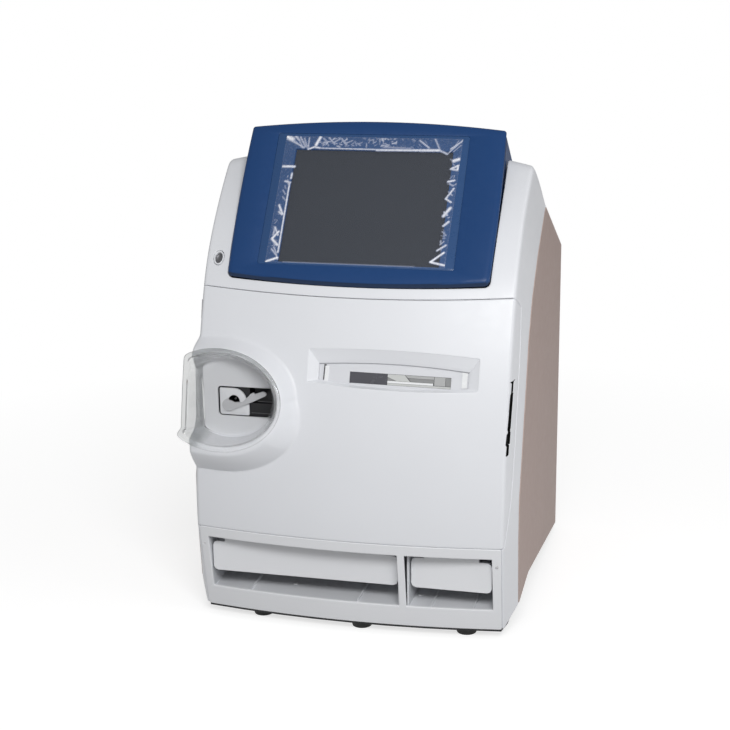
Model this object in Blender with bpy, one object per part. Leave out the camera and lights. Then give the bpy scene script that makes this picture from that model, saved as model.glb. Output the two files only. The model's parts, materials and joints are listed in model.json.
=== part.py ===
# Blood gas analyzer, bench-top, in metres, +Z up.
# The front looks along -Y and the origin is the centre of the box on the bench.
# Shapes are drawn in the body's own frame: x = 0 is the middle of the body, y = 0 is the
# foremost line of the cheeks, z = 0 is the bench. The empty analyzer_frame carries that frame.

import math

import bmesh
import bpy
from mathutils import Matrix, Vector

# Overall body
BODY_WIDTH = 0.354
SIDE_X = BODY_WIDTH / 2
BODY_DEPTH = 0.352
RIDGE_INSET_LOW = 0.0135
RIDGE_WIDTH_LOW = BODY_WIDTH - 2 * RIDGE_INSET_LOW
RIDGE_INSET_TOP = 0.009
RIDGE_WIDTH_TOP = BODY_WIDTH - 2 * RIDGE_INSET_TOP
BODY_BOTTOM = 0.012
BODY_BACK_CUT = 0.262
CONSOLE_TOP = 0.479

# Walls, seams and running clearances
WALL = 0.0026
SHEET = 0.0015
SEAM = 0.0006
FIT = 0.0003
OVERRUN = 0.03
HINGE_SEAM = 0.002

# Front profile
SEAM_LOW = 0.110
SEAM_HIGH = 0.361
BAY_UNDERCUT = 0.018
DOOR_LEAN = 0.054
DOOR_CURVE_SHARE = 1.9
CONSOLE_RISE = 0.114
CONSOLE_LEAN = 0.098
BULGE_LOW = 0.013
BULGE_HIGH = 0.008
BULGE_TOP = 0.005
SEAM_BOW = 0.008
CROWN = 0.020
ROOF_KNEE_Y = 0.163
ROOF_FRONT_Y = 0.201
ROOF_FRONT_Z = 0.430
ROOF_BACK_Z = 0.3586
CHEEK_EDGE_SHARES = (
    (0.0, 0.21), (0.256, 0.159), (0.358, 0.164), (0.537, 0.289),
    (0.721, 0.418), (0.814, 0.527), (0.907, 0.726), (1.0, 1.0), (1.3, 1.09),
)
FRONT_SEGMENTS = 16
DOOR_SEGMENTS = 28
SEAM_SEGMENTS = 17

# Side seam of the door: one straight line on each cheek
SIDE_SEAM_LOW_Y = 0.003
SIDE_SEAM_HIGH_Y = 0.0725
KINK_DROP = 0.0125

# Sample port
PORT_INSET = 0.0425
PORT_X = PORT_INSET - SIDE_X
PORT_Z = 0.2533
PORT_HALF_WIDTH = 0.0663
PORT_HALF_HEIGHT = 0.0478
PORT_RISE = 0.022
PORT_SKIRT = 0.011
PORT_SKIRT_LOW = 0.032
PORT_LEFT_SHARE = 0.35
BOWL_INSET = 0.047
BOWL_X = BOWL_INSET - SIDE_X
BOWL_Z = 0.2497
BOWL_HALF_WIDTH = 0.0505
BOWL_HALF_HEIGHT = 0.0442
BOWL_BACK_Y = 0.022
BOWL_MOUTH_LEFT = 0.072
BOWL_FRONT_Y = -0.060
SLOT_INSET = 0.064
SLOT_X = SLOT_INSET - SIDE_X
SLOT_Z = 0.2440
SLOT_WIDTH = 0.062
SLOT_HEIGHT = 0.0325
SLOT_CORNER = 0.004

# Splash guard
GUARD_WALL = 0.002
GUARD_GAP = 0.0006
GUARD_LIP = 0.0045
GUARD_LEFT_INSET = 0.007
GUARD_LEFT_X = GUARD_LEFT_INSET - SIDE_X
GUARD_BACK_LEFT_INSET = 0.017
GUARD_BACK_LEFT_X = GUARD_BACK_LEFT_INSET - SIDE_X
GUARD_FLARE = 0.0095
GUARD_FLARE_Z = 0.222
GUARD_FLARE_HEIGHT = 0.012
GUARD_BACK_Y = 0.0165

# Sensor window
WINDOW_X = 0.0457
WINDOW_Z = 0.2833
WINDOW_LEAN = math.radians(18.0)
WINDOW_YAW = math.radians(1.2)
WINDOW_ROLL = math.radians(0.9)
WINDOW_Y = 0.0171
WINDOW_WIDTH = 0.1569
WINDOW_HEIGHT = 0.0168
WINDOW_BOW = 0.0038
WINDOW_FLARE_SIDE = 0.0102
WINDOW_FLARE_TOP = 0.0129
WINDOW_FLARE_LOW = 0.0036
WINDOW_DEPTH = 0.0085
WINDOW_FRAME = 0.005
WINDOW_PLATE = 0.0016
WINDOW_SLOT_LEFT = 0.046
WINDOW_SLOT_RIGHT = 0.060
WINDOW_SLOT_HEIGHT = 0.0116
WINDOW_SLOT_DROP = 0.0038

# Finger slot and latch on the door's right edge
GRIP_LOW_Z = 0.2065
GRIP_HIGH_Z = 0.280
GRIP_WIDTH = 0.0034
GRIP_SETBACK_LOW = 0.0054
GRIP_SETBACK_HIGH = 0.0098
LATCH_LENGTH = 0.048
LATCH_THICKNESS = 0.0020
LATCH_DEPTH = 0.009
LATCH_BOSS = 0.0022

# Door hinges on the left seam
HINGE_INSET = 0.0055
HINGE_X = HINGE_INSET - SIDE_X
HINGE_HIGH_Z = 0.332
HINGE_LOW_Z = 0.196
KNUCKLE_RADIUS = 0.0024
KNUCKLE_LENGTH = 0.010
HINGE_PIN_RADIUS = 0.0011
LEAF_THICKNESS = 0.0012
LEAF_REACH = 0.013
LEAF_NECK = 0.0013

# Bays
BAY_EDGE = 0.0008
BAY_LEFT_INSET = 0.023
BAY_LEFT_X = BAY_LEFT_INSET - SIDE_X
BAY_DIVIDER_LEFT_X = 0.0555
BAY_DIVIDER_RIGHT_X = 0.063
BAY_RIGHT_INSET = 0.0235
BAY_RIGHT_X = SIDE_X - BAY_RIGHT_INSET
BAY_LOW_Z = 0.036
BAY_HIGH_Z = 0.0975
TRAY_WALL = 0.002
TRAY_TOP_Z = 0.1035
TRAY_DEPTH_Y = 0.150
TRAY_FRONT_Y = 0.0065
TRAY_FLOOR_Z = 0.034
RIB_WIDTH = 0.0016
RIB_HEIGHT = 0.0025
RIB_LEFT_SHARES = (0.2, 0.78)
RIB_RIGHT_SHARES = (0.25, 0.75)

# Bay flaps
FLAP_Y = 0.0125
FLAP_THICKNESS = 0.0024
FLAP_LOW_Z = 0.055
FLAP_SHOULDER_Z = 0.0885
FLAP_SIDE_GAP = 0.0015
FLAP_CORNER = 0.005
NOTCH_WIDTH = 0.0135
FLAP_AXIS_Z = 0.0985
FLAP_BARREL_RADIUS = 0.0030
FLAP_PIN_RADIUS = 0.0014

# Lower edge of the sides: it rises towards the front and leaves room for a hand
LIFT_FRONT_Z = 0.035
LIFT_PEAK_Y = 0.107
LIFT_PEAK_Z = 0.041
LIFT_BACK_Z = 0.0045

# Base, feet and decks
BASE_LOW_Z = 0.009
BASE_THICKNESS = 0.0027
BASE_SETBACK = 0.0022
BASE_SIDE_INSET = 0.012
BASE_WIDTH = BODY_WIDTH - 2 * BASE_SIDE_INSET
BASE_FLANGE_Z = 0.052
FOOT_RADIUS = 0.013
FOOT_TAPER = 0.0025
FOOT_X = 0.009
FOOT_SPACING = 0.113
FOOT_FRONT_Y = 0.033
FOOT_REAR_INSET = 0.034
FOOT_REAR_Y = BODY_DEPTH - FOOT_REAR_INSET
DECK_Z = 0.1048
DECK_THICKNESS = 0.002
DECK_FRONT_Y = 0.021
CHASSIS_Y = 0.112
CHASSIS_THICKNESS = 0.002
CHASSIS_TOP_Z = 0.332

# Port block, lever and probe
BLOCK_FRONT_Y = 0.0262
BLOCK_DEPTH = 0.034
BLOCK_LEFT_INSET = 0.029
BLOCK_LEFT_X = BLOCK_LEFT_INSET - SIDE_X
BLOCK_RIGHT_INSET = 0.0675
BLOCK_RIGHT_X = BLOCK_RIGHT_INSET - SIDE_X
BLOCK_LOW_Z = 0.223
BLOCK_HIGH_Z = 0.266
BOSS_INSET = 0.0505
BOSS_X = BOSS_INSET - SIDE_X
BOSS_Z = 0.2450
BOSS_RADIUS = 0.0115
BOSS_HOLE_RADIUS = 0.0062
BOSS_REACH = 0.0022
BOSS_HOLE_DEPTH = 0.020
PROBE_RADIUS = 0.0012
PROBE_TIP_Y = 0.029
PROBE_TRAVEL = 0.012
PROBE_COLLAR_RADIUS = 0.0035
PROBE_COLLAR = 0.010
NEEDLE_RIGHT_INSET = 0.099
NEEDLE_RIGHT_X = NEEDLE_RIGHT_INSET - SIDE_X
NEEDLE_HIGH_Z = 0.2425
NEEDLE_STEP = 0.004
BRACKET_THICKNESS = 0.002
LEVER_PIVOT_INSET = 0.0448
LEVER_PIVOT_X = LEVER_PIVOT_INSET - SIDE_X
LEVER_PIVOT_Z = 0.2352
LEVER_TIP_INSET = 0.0855
LEVER_TIP_X = LEVER_TIP_INSET - SIDE_X
LEVER_TIP_Z = 0.2540
LEVER_WIDE_RADIUS = 0.0050
LEVER_TIP_RADIUS = 0.0024
LEVER_THICKNESS = 0.0024
LEVER_PRONG_SHARE = 0.66
LEVER_PRONG_RISE = 0.0058
LEVER_PIN_RADIUS = 0.0017

# Screen console
BEZEL_LOW_Y = 0.0509
BEZEL_LOW_Z = 0.3750
BEZEL_LEAN = math.radians(36.5)
BEZEL_SIDE_INSET = 0.03775
BEZEL_WIDTH = BODY_WIDTH - 2 * BEZEL_SIDE_INSET
BEZEL_HEIGHT = 0.1777
BEZEL_BOW_TOP = 0.0088
BEZEL_BOW_LOW = 0.0076
BEZEL_BOW_SIDE = 0.0020
BEZEL_THICKNESS = 0.014
BEZEL_CHAMFER_WIDTH = 0.0042
BEZEL_CHAMFER_DEPTH = 0.0034
BEZEL_CORNER_LOW = 0.005
BEZEL_FIELD_LEFT = 0.108
BEZEL_FIELD_RIGHT = 0.102
BEZEL_FIELD_LOW = 0.0135
BEZEL_FIELD_HIGH = 0.1690
BEZEL_FIELD_DEPTH = 0.0009
SCREEN_WIDTH = 0.1714
SCREEN_HEIGHT = 0.1328
SCREEN_LOW = 0.0172
SCREEN_SETBACK = 0.0026
GLASS_MARGIN = 0.003
GLASS_THICKNESS = 0.0018
PANEL_THICKNESS = 0.007
PANEL_MARGIN = 0.008
BOARD_THICKNESS = 0.0016
BOARD_MARGIN = 0.020
FILM_LEFT = 0.1020
FILM_RIGHT = 0.0985
FILM_LOW = 0.0150
FILM_HIGH = 0.1650
FILM_THICKNESS = 0.0004
HOUSING_INSET = 0.0012
HOUSING_BOX_DEPTH = 0.050
HOUSING_FLOOR_HIGH = 0.090
HOUSING_LENGTH = 0.150
HOUSING_ROOF_GAP = 0.0008

# Button beside the screen
BUTTON_INSET = 0.024
BUTTON_X = BUTTON_INSET - SIDE_X
BUTTON_Z = 0.3885
BUTTON_RING_HALF_WIDTH = 0.0064
BUTTON_RING_HALF_HEIGHT = 0.0087
BUTTON_RING_BAND = 0.0023
BUTTON_RING_DEPTH = 0.0060
BUTTON_RING_PROUD = 0.0004
BUTTON_RECESS = 0.0022
BUTTON_LENGTH = 0.0055
BUTTON_TRAVEL = 0.0015
BUTTON_SWITCH_SIZE = 0.022
BUTTON_SWITCH_DEPTH = 0.008

# Printer in the back of the screen housing
LID_X = 0.029
LID_WIDTH = 0.080
LID_FRONT = 0.022
LID_BACK = 0.098
LID_TAB_WIDTH = 0.007
LID_TAB_HEIGHT = 0.0050
LID_TAB_LENGTH = 0.005
LID_AXIS_DROP = 0.0036
LID_BACK_GAP = 0.0022
LID_BARREL_RADIUS = 0.0024
LID_PIN_RADIUS = 0.0010
LID_EAR = 0.004
ROLL_RADIUS = 0.0165
ROLL_CORE_RADIUS = 0.006
ROLL_WIDTH = 0.057
ROLL_Y = 0.228
ROLL_Z = 0.4405
PRINTER_WALL = 0.003
PLATEN_RADIUS = 0.005
PLATEN_Y = 0.192
PLATEN_Z = 0.4585

# Modules inside
SENSOR_LEFT_X = -0.004
SENSOR_RIGHT_X = 0.112
SENSOR_FRONT_Y = 0.058
SENSOR_LOW_Z = 0.262
SENSOR_HIGH_Z = 0.302
ELECTRODE_RADIUS = 0.0045
ELECTRODE_LENGTH = 0.010
ELECTRODE_COUNT = 8
PUMP_X = 0.095
PUMP_Z = 0.185
PUMP_RADIUS = 0.032
PUMP_DEPTH = 0.026
PUMP_WALL = 0.005
ROTOR_RADIUS = 0.019
ROTOR_ROLLER_RADIUS = 0.0055
ROTOR_THICKNESS = 0.014
ROTOR_ROLLERS = 4
SHAFT_RADIUS = 0.003
VALVE_LEFT_X = -0.045
VALVE_RIGHT_X = 0.045
VALVE_LOW_Z = 0.155
VALVE_HIGH_Z = 0.195
VALVE_DEPTH = 0.022
SOLENOID_RADIUS = 0.007
SOLENOID_LENGTH = 0.018
SOLENOID_COUNT = 4
MAIN_BOARD_WIDTH = 0.210
MAIN_BOARD_LOW_Z = 0.125
MAIN_BOARD_HEIGHT = 0.150
BOARD_STANDOFF = 0.006
CHIP_SIZE = 0.030
SUPPLY_WIDTH = 0.100
SUPPLY_DEPTH = 0.070
SUPPLY_HEIGHT = 0.060
SUPPLY_X = 0.095

# Rear panel and what sits in it
REAR_PANEL_THICKNESS = 0.0015
REAR_PANEL_INSET = 0.001
FAN_X = -0.085
FAN_Z = 0.230
FAN_SIZE = 0.080
FAN_DEPTH = 0.020
FAN_HOLE_RADIUS = 0.037
FAN_HUB_RADIUS = 0.015
FAN_TIP_GAP = 0.0015
FAN_BLADES = 7
GRILLE_RING = 0.0035
VENT_COUNT = 7
VENT_WIDTH = 0.070
VENT_HEIGHT = 0.004
VENT_PITCH = 0.011
VENT_X = 0.075
VENT_Z = 0.230
INLET_X = 0.120
INLET_Z = 0.060
INLET_WIDTH = 0.0272
INLET_HEIGHT = 0.0195
INLET_DEPTH = 0.024
INLET_FLANGE = 0.003
INLET_FLANGE_THICKNESS = 0.002
INLET_WALL = 0.0022
INLET_PIN_WIDTH = 0.002
INLET_PIN_HEIGHT = 0.004
INLET_PIN_PITCH = 0.007
SWITCH_X = 0.080
SWITCH_WIDTH = 0.013
SWITCH_HEIGHT = 0.019
SWITCH_BODY_DEPTH = 0.018
SWITCH_WALL = 0.0015
ROCKER_THICKNESS = 0.006
ROCKER_PEAK = 0.0022
PORT_PLATE_X = -0.080
PORT_PLATE_Z = 0.065
PORT_PLATE_WIDTH = 0.100
PORT_PLATE_HEIGHT = 0.030
PORT_COUNT = 4
PORT_HOLE_WIDTH = 0.014
PORT_HOLE_HEIGHT = 0.010
PORT_BODY_DEPTH = 0.012
PORT_BODY_WALL = 0.0015


# Frame of the screen: x across, u up along the face, n out of it
BEZEL_FRAME = Matrix((
    (1.0, 0.0, 0.0, 0.0),
    (0.0, math.sin(BEZEL_LEAN), -math.cos(BEZEL_LEAN), BEZEL_LOW_Y),
    (0.0, math.cos(BEZEL_LEAN), math.sin(BEZEL_LEAN), BEZEL_LOW_Z),
    (0.0, 0.0, 0.0, 1.0),
))


def clear_scene():
    for old in list(bpy.data.objects):
        bpy.data.objects.remove(old, do_unlink=True)


def material(name, color, roughness, metallic=0.0, alpha=1.0):
    found = bpy.data.materials.get(name)
    if found:
        return found
    made = bpy.data.materials.new(name)
    made.use_nodes = True
    shader = made.node_tree.nodes["Principled BSDF"]
    shader.inputs["Base Color"].default_value = (color[0], color[1], color[2], 1.0)
    shader.inputs["Roughness"].default_value = roughness
    shader.inputs["Metallic"].default_value = metallic
    shader.inputs["Alpha"].default_value = alpha
    return made


def pivot(name, place, tilt=0.0):
    """An empty on a joint's axis, tilted about X where the axis leans."""
    empty = bpy.data.objects.new(name, None)
    bpy.context.scene.collection.objects.link(empty)
    if name != "analyzer_frame":
        empty.parent = bpy.data.objects["analyzer_frame"]
    empty.location = place
    empty.rotation_euler = (tilt, 0.0, 0.0)
    return empty


def piece(name, bm, look, carrier=None, smooth=True):
    """A named object whose mesh is drawn in the body's frame and carried by an empty."""
    bmesh.ops.recalc_face_normals(bm, faces=bm.faces)
    holder = carrier or bpy.data.objects["analyzer_frame"]
    if carrier:
        bmesh.ops.transform(bm, matrix=holder.matrix_basis.inverted(), verts=bm.verts)
    mesh = bpy.data.meshes.new(name)
    bm.to_mesh(mesh)
    bm.free()
    obj = bpy.data.objects.new(name, mesh)
    bpy.context.scene.collection.objects.link(obj)
    obj.parent = holder
    if look:
        mesh.materials.append(look)
    if look and smooth:
        mesh.shade_smooth()
        mesh.set_sharp_from_angle(angle=math.radians(28.0))
    return obj


def tool(name, bm):
    """A cutter: kept in the scene as a wire shape that isn't part of the object."""
    obj = piece("cutter_" + name, bm, None)
    obj.hide_render = True
    obj.display_type = "WIRE"
    return obj


def combine(obj, other, operation):
    mod = obj.modifiers.new(operation.lower() + "_" + other.name, "BOOLEAN")
    mod.operation = operation
    mod.solver = "EXACT"
    mod.object = other
    return obj


def cut(obj, *others):
    for other in others:
        combine(obj, other, "DIFFERENCE")
    return obj


def keep(obj, *others):
    for other in others:
        combine(obj, other, "INTERSECT")
    return obj


def join(obj, *others):
    for other in others:
        combine(obj, other, "UNION")
    return obj


def place(bm, matrix):
    bmesh.ops.transform(bm, matrix=matrix, verts=bm.verts)
    return bm


def box(low, high):
    """A box between two corners."""
    bm = bmesh.new()
    bmesh.ops.create_cube(bm, size=1.0)
    size = [high[i] - low[i] for i in range(3)]
    middle = [(high[i] + low[i]) / 2 for i in range(3)]
    bmesh.ops.scale(bm, vec=size, verts=bm.verts)
    bmesh.ops.translate(bm, vec=middle, verts=bm.verts)
    return bm


def prism(outline, low, high, axes=(1, 2, 0)):
    """An outline extruded from low to high; axes name the outline's two axes and the third."""
    bm = bmesh.new()
    first = []
    for point in outline:
        spot = [0.0, 0.0, 0.0]
        spot[axes[0]] = point[0]
        spot[axes[1]] = point[1]
        spot[axes[2]] = low
        first.append(bm.verts.new(spot))
    face = bm.faces.new(first)
    grown = bmesh.ops.extrude_face_region(bm, geom=[face])
    moved = [item for item in grown["geom"] if isinstance(item, bmesh.types.BMVert)]
    step = [0.0, 0.0, 0.0]
    step[axes[2]] = high - low
    bmesh.ops.translate(bm, vec=step, verts=moved)
    bmesh.ops.recalc_face_normals(bm, faces=bm.faces)
    return bm


def rod(start, end, radius, sides=20, end_radius=None):
    """A round bar or a taper between two points."""
    a = Vector(start)
    b = Vector(end)
    length = (b - a).length
    bm = bmesh.new()
    last = radius if end_radius is None else end_radius
    bmesh.ops.create_cone(
        bm, cap_ends=True, segments=sides, radius1=radius, radius2=last, depth=length)
    turn = (b - a).to_track_quat("Z", "Y").to_matrix().to_4x4()
    return place(bm, Matrix.Translation((a + b) / 2) @ turn)


def loft(rings, closed_ends=True):
    """A solid through rings of equal count, each ring a closed loop of points."""
    bm = bmesh.new()
    rows = [[bm.verts.new(point) for point in ring] for ring in rings]
    count = len(rings[0])
    for lower, upper in zip(rows, rows[1:]):
        for i in range(count):
            j = (i + 1) % count
            bm.faces.new((lower[i], lower[j], upper[j], upper[i]))
    if closed_ends:
        bm.faces.new(rows[0])
        bm.faces.new(rows[-1])
    else:
        for i in range(count):
            j = (i + 1) % count
            bm.faces.new((rows[-1][i], rows[-1][j], rows[0][j], rows[0][i]))
    bmesh.ops.recalc_face_normals(bm, faces=bm.faces)
    return bm


def ellipse(center, half_x, half_z, y, count=32, left_half=None):
    """A loop in a plane of constant y; its left half may reach further."""
    left = half_x if left_half is None else left_half
    points = []
    for i in range(count):
        angle = 2 * math.pi * i / count
        reach = half_x if math.cos(angle) >= 0 else left
        points.append((center[0] + reach * math.cos(angle), y, center[1] + half_z * math.sin(angle)))
    return points


def rounded_rectangle(low, high, radius, steps=4):
    """Corner points of a rectangle with round corners, anticlockwise."""
    points = []
    corners = ((high[0], high[1], 0), (low[0], high[1], 1), (low[0], low[1], 2), (high[0], low[1], 3))
    for x, y, quarter in corners:
        cx = x - radius if quarter in (0, 3) else x + radius
        cy = y - radius if quarter in (0, 1) else y + radius
        for i in range(steps + 1):
            angle = math.pi / 2 * (quarter + i / steps)
            points.append((cx + radius * math.cos(angle), cy + radius * math.sin(angle)))
    return points


# The front's surface

def ridge_half(z):
    share = (z - BODY_BOTTOM) / (CONSOLE_TOP - BODY_BOTTOM)
    return (RIDGE_WIDTH_LOW + (RIDGE_WIDTH_TOP - RIDGE_WIDTH_LOW) * share) / 2


def ridge_y(z):
    """Depth of the line where the front meets the cheek."""
    if z < SEAM_LOW:
        return BAY_UNDERCUT * (SEAM_LOW - z) / (SEAM_LOW - BODY_BOTTOM)
    if z < SEAM_HIGH:
        return DOOR_LEAN * ((z - SEAM_LOW) / (SEAM_HIGH - SEAM_LOW)) ** DOOR_CURVE_SHARE
    share = (z - SEAM_HIGH) / CONSOLE_RISE
    return DOOR_LEAN + CONSOLE_LEAN * (share + share * share) / 2


def ridge_slope(z):
    step = WALL / 2
    return (ridge_y(z + step) - ridge_y(z - step)) / (2 * step)


def bulge(z):
    """How far the middle of the front stands forward of the ridges."""
    if z < SEAM_LOW:
        return BULGE_LOW
    if z < SEAM_HIGH:
        return BULGE_LOW + (BULGE_HIGH - BULGE_LOW) * (z - SEAM_LOW) / (SEAM_HIGH - SEAM_LOW)
    share = min(1.0, (z - SEAM_HIGH) / (CONSOLE_TOP - SEAM_HIGH))
    return BULGE_HIGH + (BULGE_TOP - BULGE_HIGH) * share


def front_y(x, z):
    return ridge_y(z) - bulge(z) * (1 - (x / ridge_half(z)) ** 2)


def cheek_line():
    """Height and depth of the line where the white cheek meets the grey cover."""
    return [(height * ROOF_FRONT_Z, depth * ROOF_FRONT_Y) for height, depth in CHEEK_EDGE_SHARES]


def cheek_edge_y(z):
    points = cheek_line()
    for (z0, y0), (z1, y1) in zip(points, points[1:]):
        if z <= z1:
            return y0 + (y1 - y0) * (z - z0) / (z1 - z0)
    return points[-1][1]


def cheek_inner_x(y, z):
    """How far out the inner face of the cheek's wall lies."""
    start = ridge_y(z) + WALL * math.sqrt(1 + ridge_slope(z) ** 2)
    share = (y - start) / (cheek_edge_y(z) - start)
    return ridge_half(z) + (BODY_WIDTH / 2 - ridge_half(z)) * share - WALL


def rim_y(x, z):
    """Depth of the raised ring's crest."""
    return front_y(x, z) - PORT_RISE


def port_rise(x, z):
    """The raised ring round the sample port: it falls off slowly below and fast elsewhere."""
    across = x - PORT_X
    across *= PORT_LEFT_SHARE if across < 0 else PORT_HALF_HEIGHT / PORT_HALF_WIDTH
    away = math.hypot(across, z - PORT_Z)
    if away <= PORT_HALF_HEIGHT:
        return PORT_RISE
    down = max(0.0, (PORT_Z - z) / away)
    skirt = PORT_SKIRT + (PORT_SKIRT_LOW - PORT_SKIRT) * down
    share = 1 - min(1.0, (away - PORT_HALF_HEIGHT) / skirt)
    return PORT_RISE * share * share * (3 - 2 * share)


def section(z, inset, segments, raised):
    """One level of the front body: the bowed front, the cheeks and a straight back."""
    half = ridge_half(z) - inset
    deeper = inset * math.sqrt(1 + ridge_slope(z) ** 2)
    points = []
    for i in range(segments + 1):
        x = half * (2 * i / segments - 1)
        y = front_y(x, z) + deeper
        if raised:
            y -= port_rise(x, z)
        points.append((x, y, z))
    side = BODY_WIDTH / 2 - inset
    points.append((side, cheek_edge_y(z), z))
    points.append((side, BODY_BACK_CUT, z))
    points.append((-side, BODY_BACK_CUT, z))
    points.append((-side, cheek_edge_y(z), z))
    return points


def levels(low, high, count):
    return [low + (high - low) * i / count for i in range(count + 1)]


def front_heights():
    """Levels of the front's curve and of the cheek line's corners, in one rising list."""
    top = CONSOLE_TOP + CROWN + OVERRUN
    door = levels(SEAM_LOW, SEAM_HIGH, 9)
    found = [BODY_BOTTOM, top] + door + levels(SEAM_HIGH, top, 8)
    corners = [z for z, _ in cheek_line()]
    found += [z for z in corners if min(abs(z - other) for other in found) > WALL and z < top]
    found = sorted(z for z in found if z >= BODY_BOTTOM)
    return [z for i, z in enumerate(found) if i == 0 or z - found[i - 1] > WALL]


def door_heights():
    return levels(SEAM_LOW - WALL, SEAM_HIGH + WALL, 22)


def roof_z(x, y, drop=0.0):
    """Height of the white shoulders' roof, then of the grey roof behind it."""
    crown = CROWN * (1 - (2 * x / RIDGE_WIDTH_TOP) ** 2)
    knee = ROOF_KNEE_Y + crown
    if y < knee:
        return CONSOLE_TOP + crown - drop
    if y < ROOF_FRONT_Y:
        share = (y - knee) / (ROOF_FRONT_Y - knee)
        return CONSOLE_TOP + crown + (ROOF_FRONT_Z - CONSOLE_TOP - crown) * share - drop
    share = (y - ROOF_FRONT_Y) / (BODY_DEPTH - ROOF_FRONT_Y)
    return ROOF_FRONT_Z + (ROOF_BACK_Z - ROOF_FRONT_Z) * share - drop


def above_roof(name, drop=0.0):
    """A cutter for everything above the shoulders' roof."""
    rings = []
    half = BODY_WIDTH / 2 + OVERRUN
    for i in range(FRONT_SEGMENTS + 1):
        x = half * (2 * i / FRONT_SEGMENTS - 1)
        crown = CROWN * (1 - (2 * x / RIDGE_WIDTH_TOP) ** 2)
        stops = (-OVERRUN, ROOF_KNEE_Y + crown, ROOF_FRONT_Y, BODY_DEPTH)
        line = [(x, y, roof_z(x, y, drop)) for y in stops]
        lid = CONSOLE_TOP + CROWN + 2 * OVERRUN
        line.append((x, BODY_DEPTH, lid))
        line.append((x, -OVERRUN, lid))
        rings.append(line)
    lump = loft(rings)
    bmesh.ops.triangulate(lump, faces=lump.faces, quad_method="FIXED")
    return tool(name, lump)


def side_seam_y(z):
    share = (z - SEAM_LOW) / (SEAM_HIGH - SEAM_LOW)
    return SIDE_SEAM_LOW_Y + (SIDE_SEAM_HIGH_Y - SIDE_SEAM_LOW_Y) * share


SEAM_RUN = SIDE_SEAM_HIGH_Y - SIDE_SEAM_LOW_Y
SEAM_RISE = SEAM_HIGH - SEAM_LOW
DOOR_TILT = math.atan2(SEAM_RUN, SEAM_RISE)


def door_region(name, grow_left, grow_right, grow_ends):
    """The space in front of the side seams, between the two long seams."""
    rings = []
    rise = math.tan(DOOR_TILT)
    edge = ridge_half(SEAM_HIGH)
    outside = BODY_WIDTH / 2 + OVERRUN
    places = [edge * (2 * i / SEAM_SEGMENTS - 1) for i in range(SEAM_SEGMENTS + 1)]
    places = [-outside] + places + [outside]
    for x in places:
        grow = grow_left if x < 0 else grow_right
        share = max(0.0, 1 - (x / ridge_half(SEAM_HIGH)) ** 2)
        top = SEAM_HIGH - SEAM_BOW * share + grow_ends
        low = SEAM_LOW - grow_ends
        front = -PORT_RISE - OVERRUN
        rings.append([
            (x, front, low),
            (x, side_seam_y(low) + grow, low),
            (x, side_seam_y(SEAM_HIGH - KINK_DROP) + grow, top - KINK_DROP),
            (x, DOOR_LEAN, top),
            (x, front, top + (DOOR_LEAN - front) * rise),
        ])
    return tool(name, loft(rings))


def behind_cheeks(name, gap):
    """The space behind the line where the white cheeks end."""
    outline = [(y - gap, z) for z, y in cheek_line()]
    outline.insert(0, (outline[0][0], -OVERRUN))
    outline.append((outline[-1][0], CONSOLE_TOP + 2 * OVERRUN))
    outline.append((BODY_DEPTH, CONSOLE_TOP + 2 * OVERRUN))
    outline.append((BODY_DEPTH, -OVERRUN))
    half = BODY_WIDTH / 2 + OVERRUN
    return tool(name, prism(outline, -half, half))


def below_cheek(name, side):
    """The space under the lower edge of one cheek, which rises outwards."""
    inner = ridge_half(BODY_BOTTOM)
    across = BODY_WIDTH / 2 - inner
    rise = LIFT_FRONT_Z - BODY_BOTTOM
    outline = [
        (side * (inner - across), BODY_BOTTOM - rise),
        (side * (inner + 2 * across), BODY_BOTTOM - rise),
        (side * (inner + 2 * across), BODY_BOTTOM + 2 * rise),
    ]
    return tool(name, prism(outline, -OVERRUN, BODY_BACK_CUT + OVERRUN, axes=(0, 2, 1)))


def bay_region(name, gap):
    """The space between the ridges, below the low seam."""
    low = BODY_BOTTOM - OVERRUN
    high = SEAM_LOW + SEAM
    outline = [
        (-ridge_half(low) - gap, low), (ridge_half(low) + gap, low),
        (ridge_half(high) + gap, high), (-ridge_half(high) - gap, high),
    ]
    return tool(name, prism(outline, -OVERRUN, BAY_FRAME_BACK + gap, axes=(0, 2, 1)))


BAY_FRAME_BACK = BAY_UNDERCUT + WALL * 2


# The screen's outline

def bezel_outline(inset=0.0, count=10):
    """The barrel outline of the screen's face, in the screen's frame."""
    half = BEZEL_WIDTH / 2 - inset
    low = inset
    high = BEZEL_HEIGHT - inset
    corner = max(BEZEL_CORNER_LOW - inset, WALL / 2)
    points = []
    for i in range(count + 1):
        share = 2 * i / count - 1
        x = (half - corner) * share
        points.append((x, low - BEZEL_BOW_LOW * (1 - share * share)))
    points.append((half - corner * 0.3, low + corner * 0.3))
    points.append((half, low + corner))
    points.append((half + BEZEL_BOW_SIDE, (low + high) / 2))
    for i in range(count + 1):
        share = 1 - 2 * i / count
        points.append((half * share, high + BEZEL_BOW_TOP * (1 - share * share)))
    points.append((-half - BEZEL_BOW_SIDE, (low + high) / 2))
    points.append((-half, low + corner))
    points.append((-half + corner * 0.3, low + corner * 0.3))
    return points


def screen_prism(outline, low, high):
    """An outline in the screen's frame, extruded along the screen's normal."""
    return place(prism(outline, low, high, axes=(0, 1, 2)), BEZEL_FRAME)


def screen_box(low, high):
    return place(box(low, high), BEZEL_FRAME)


# Parts of the front

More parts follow.
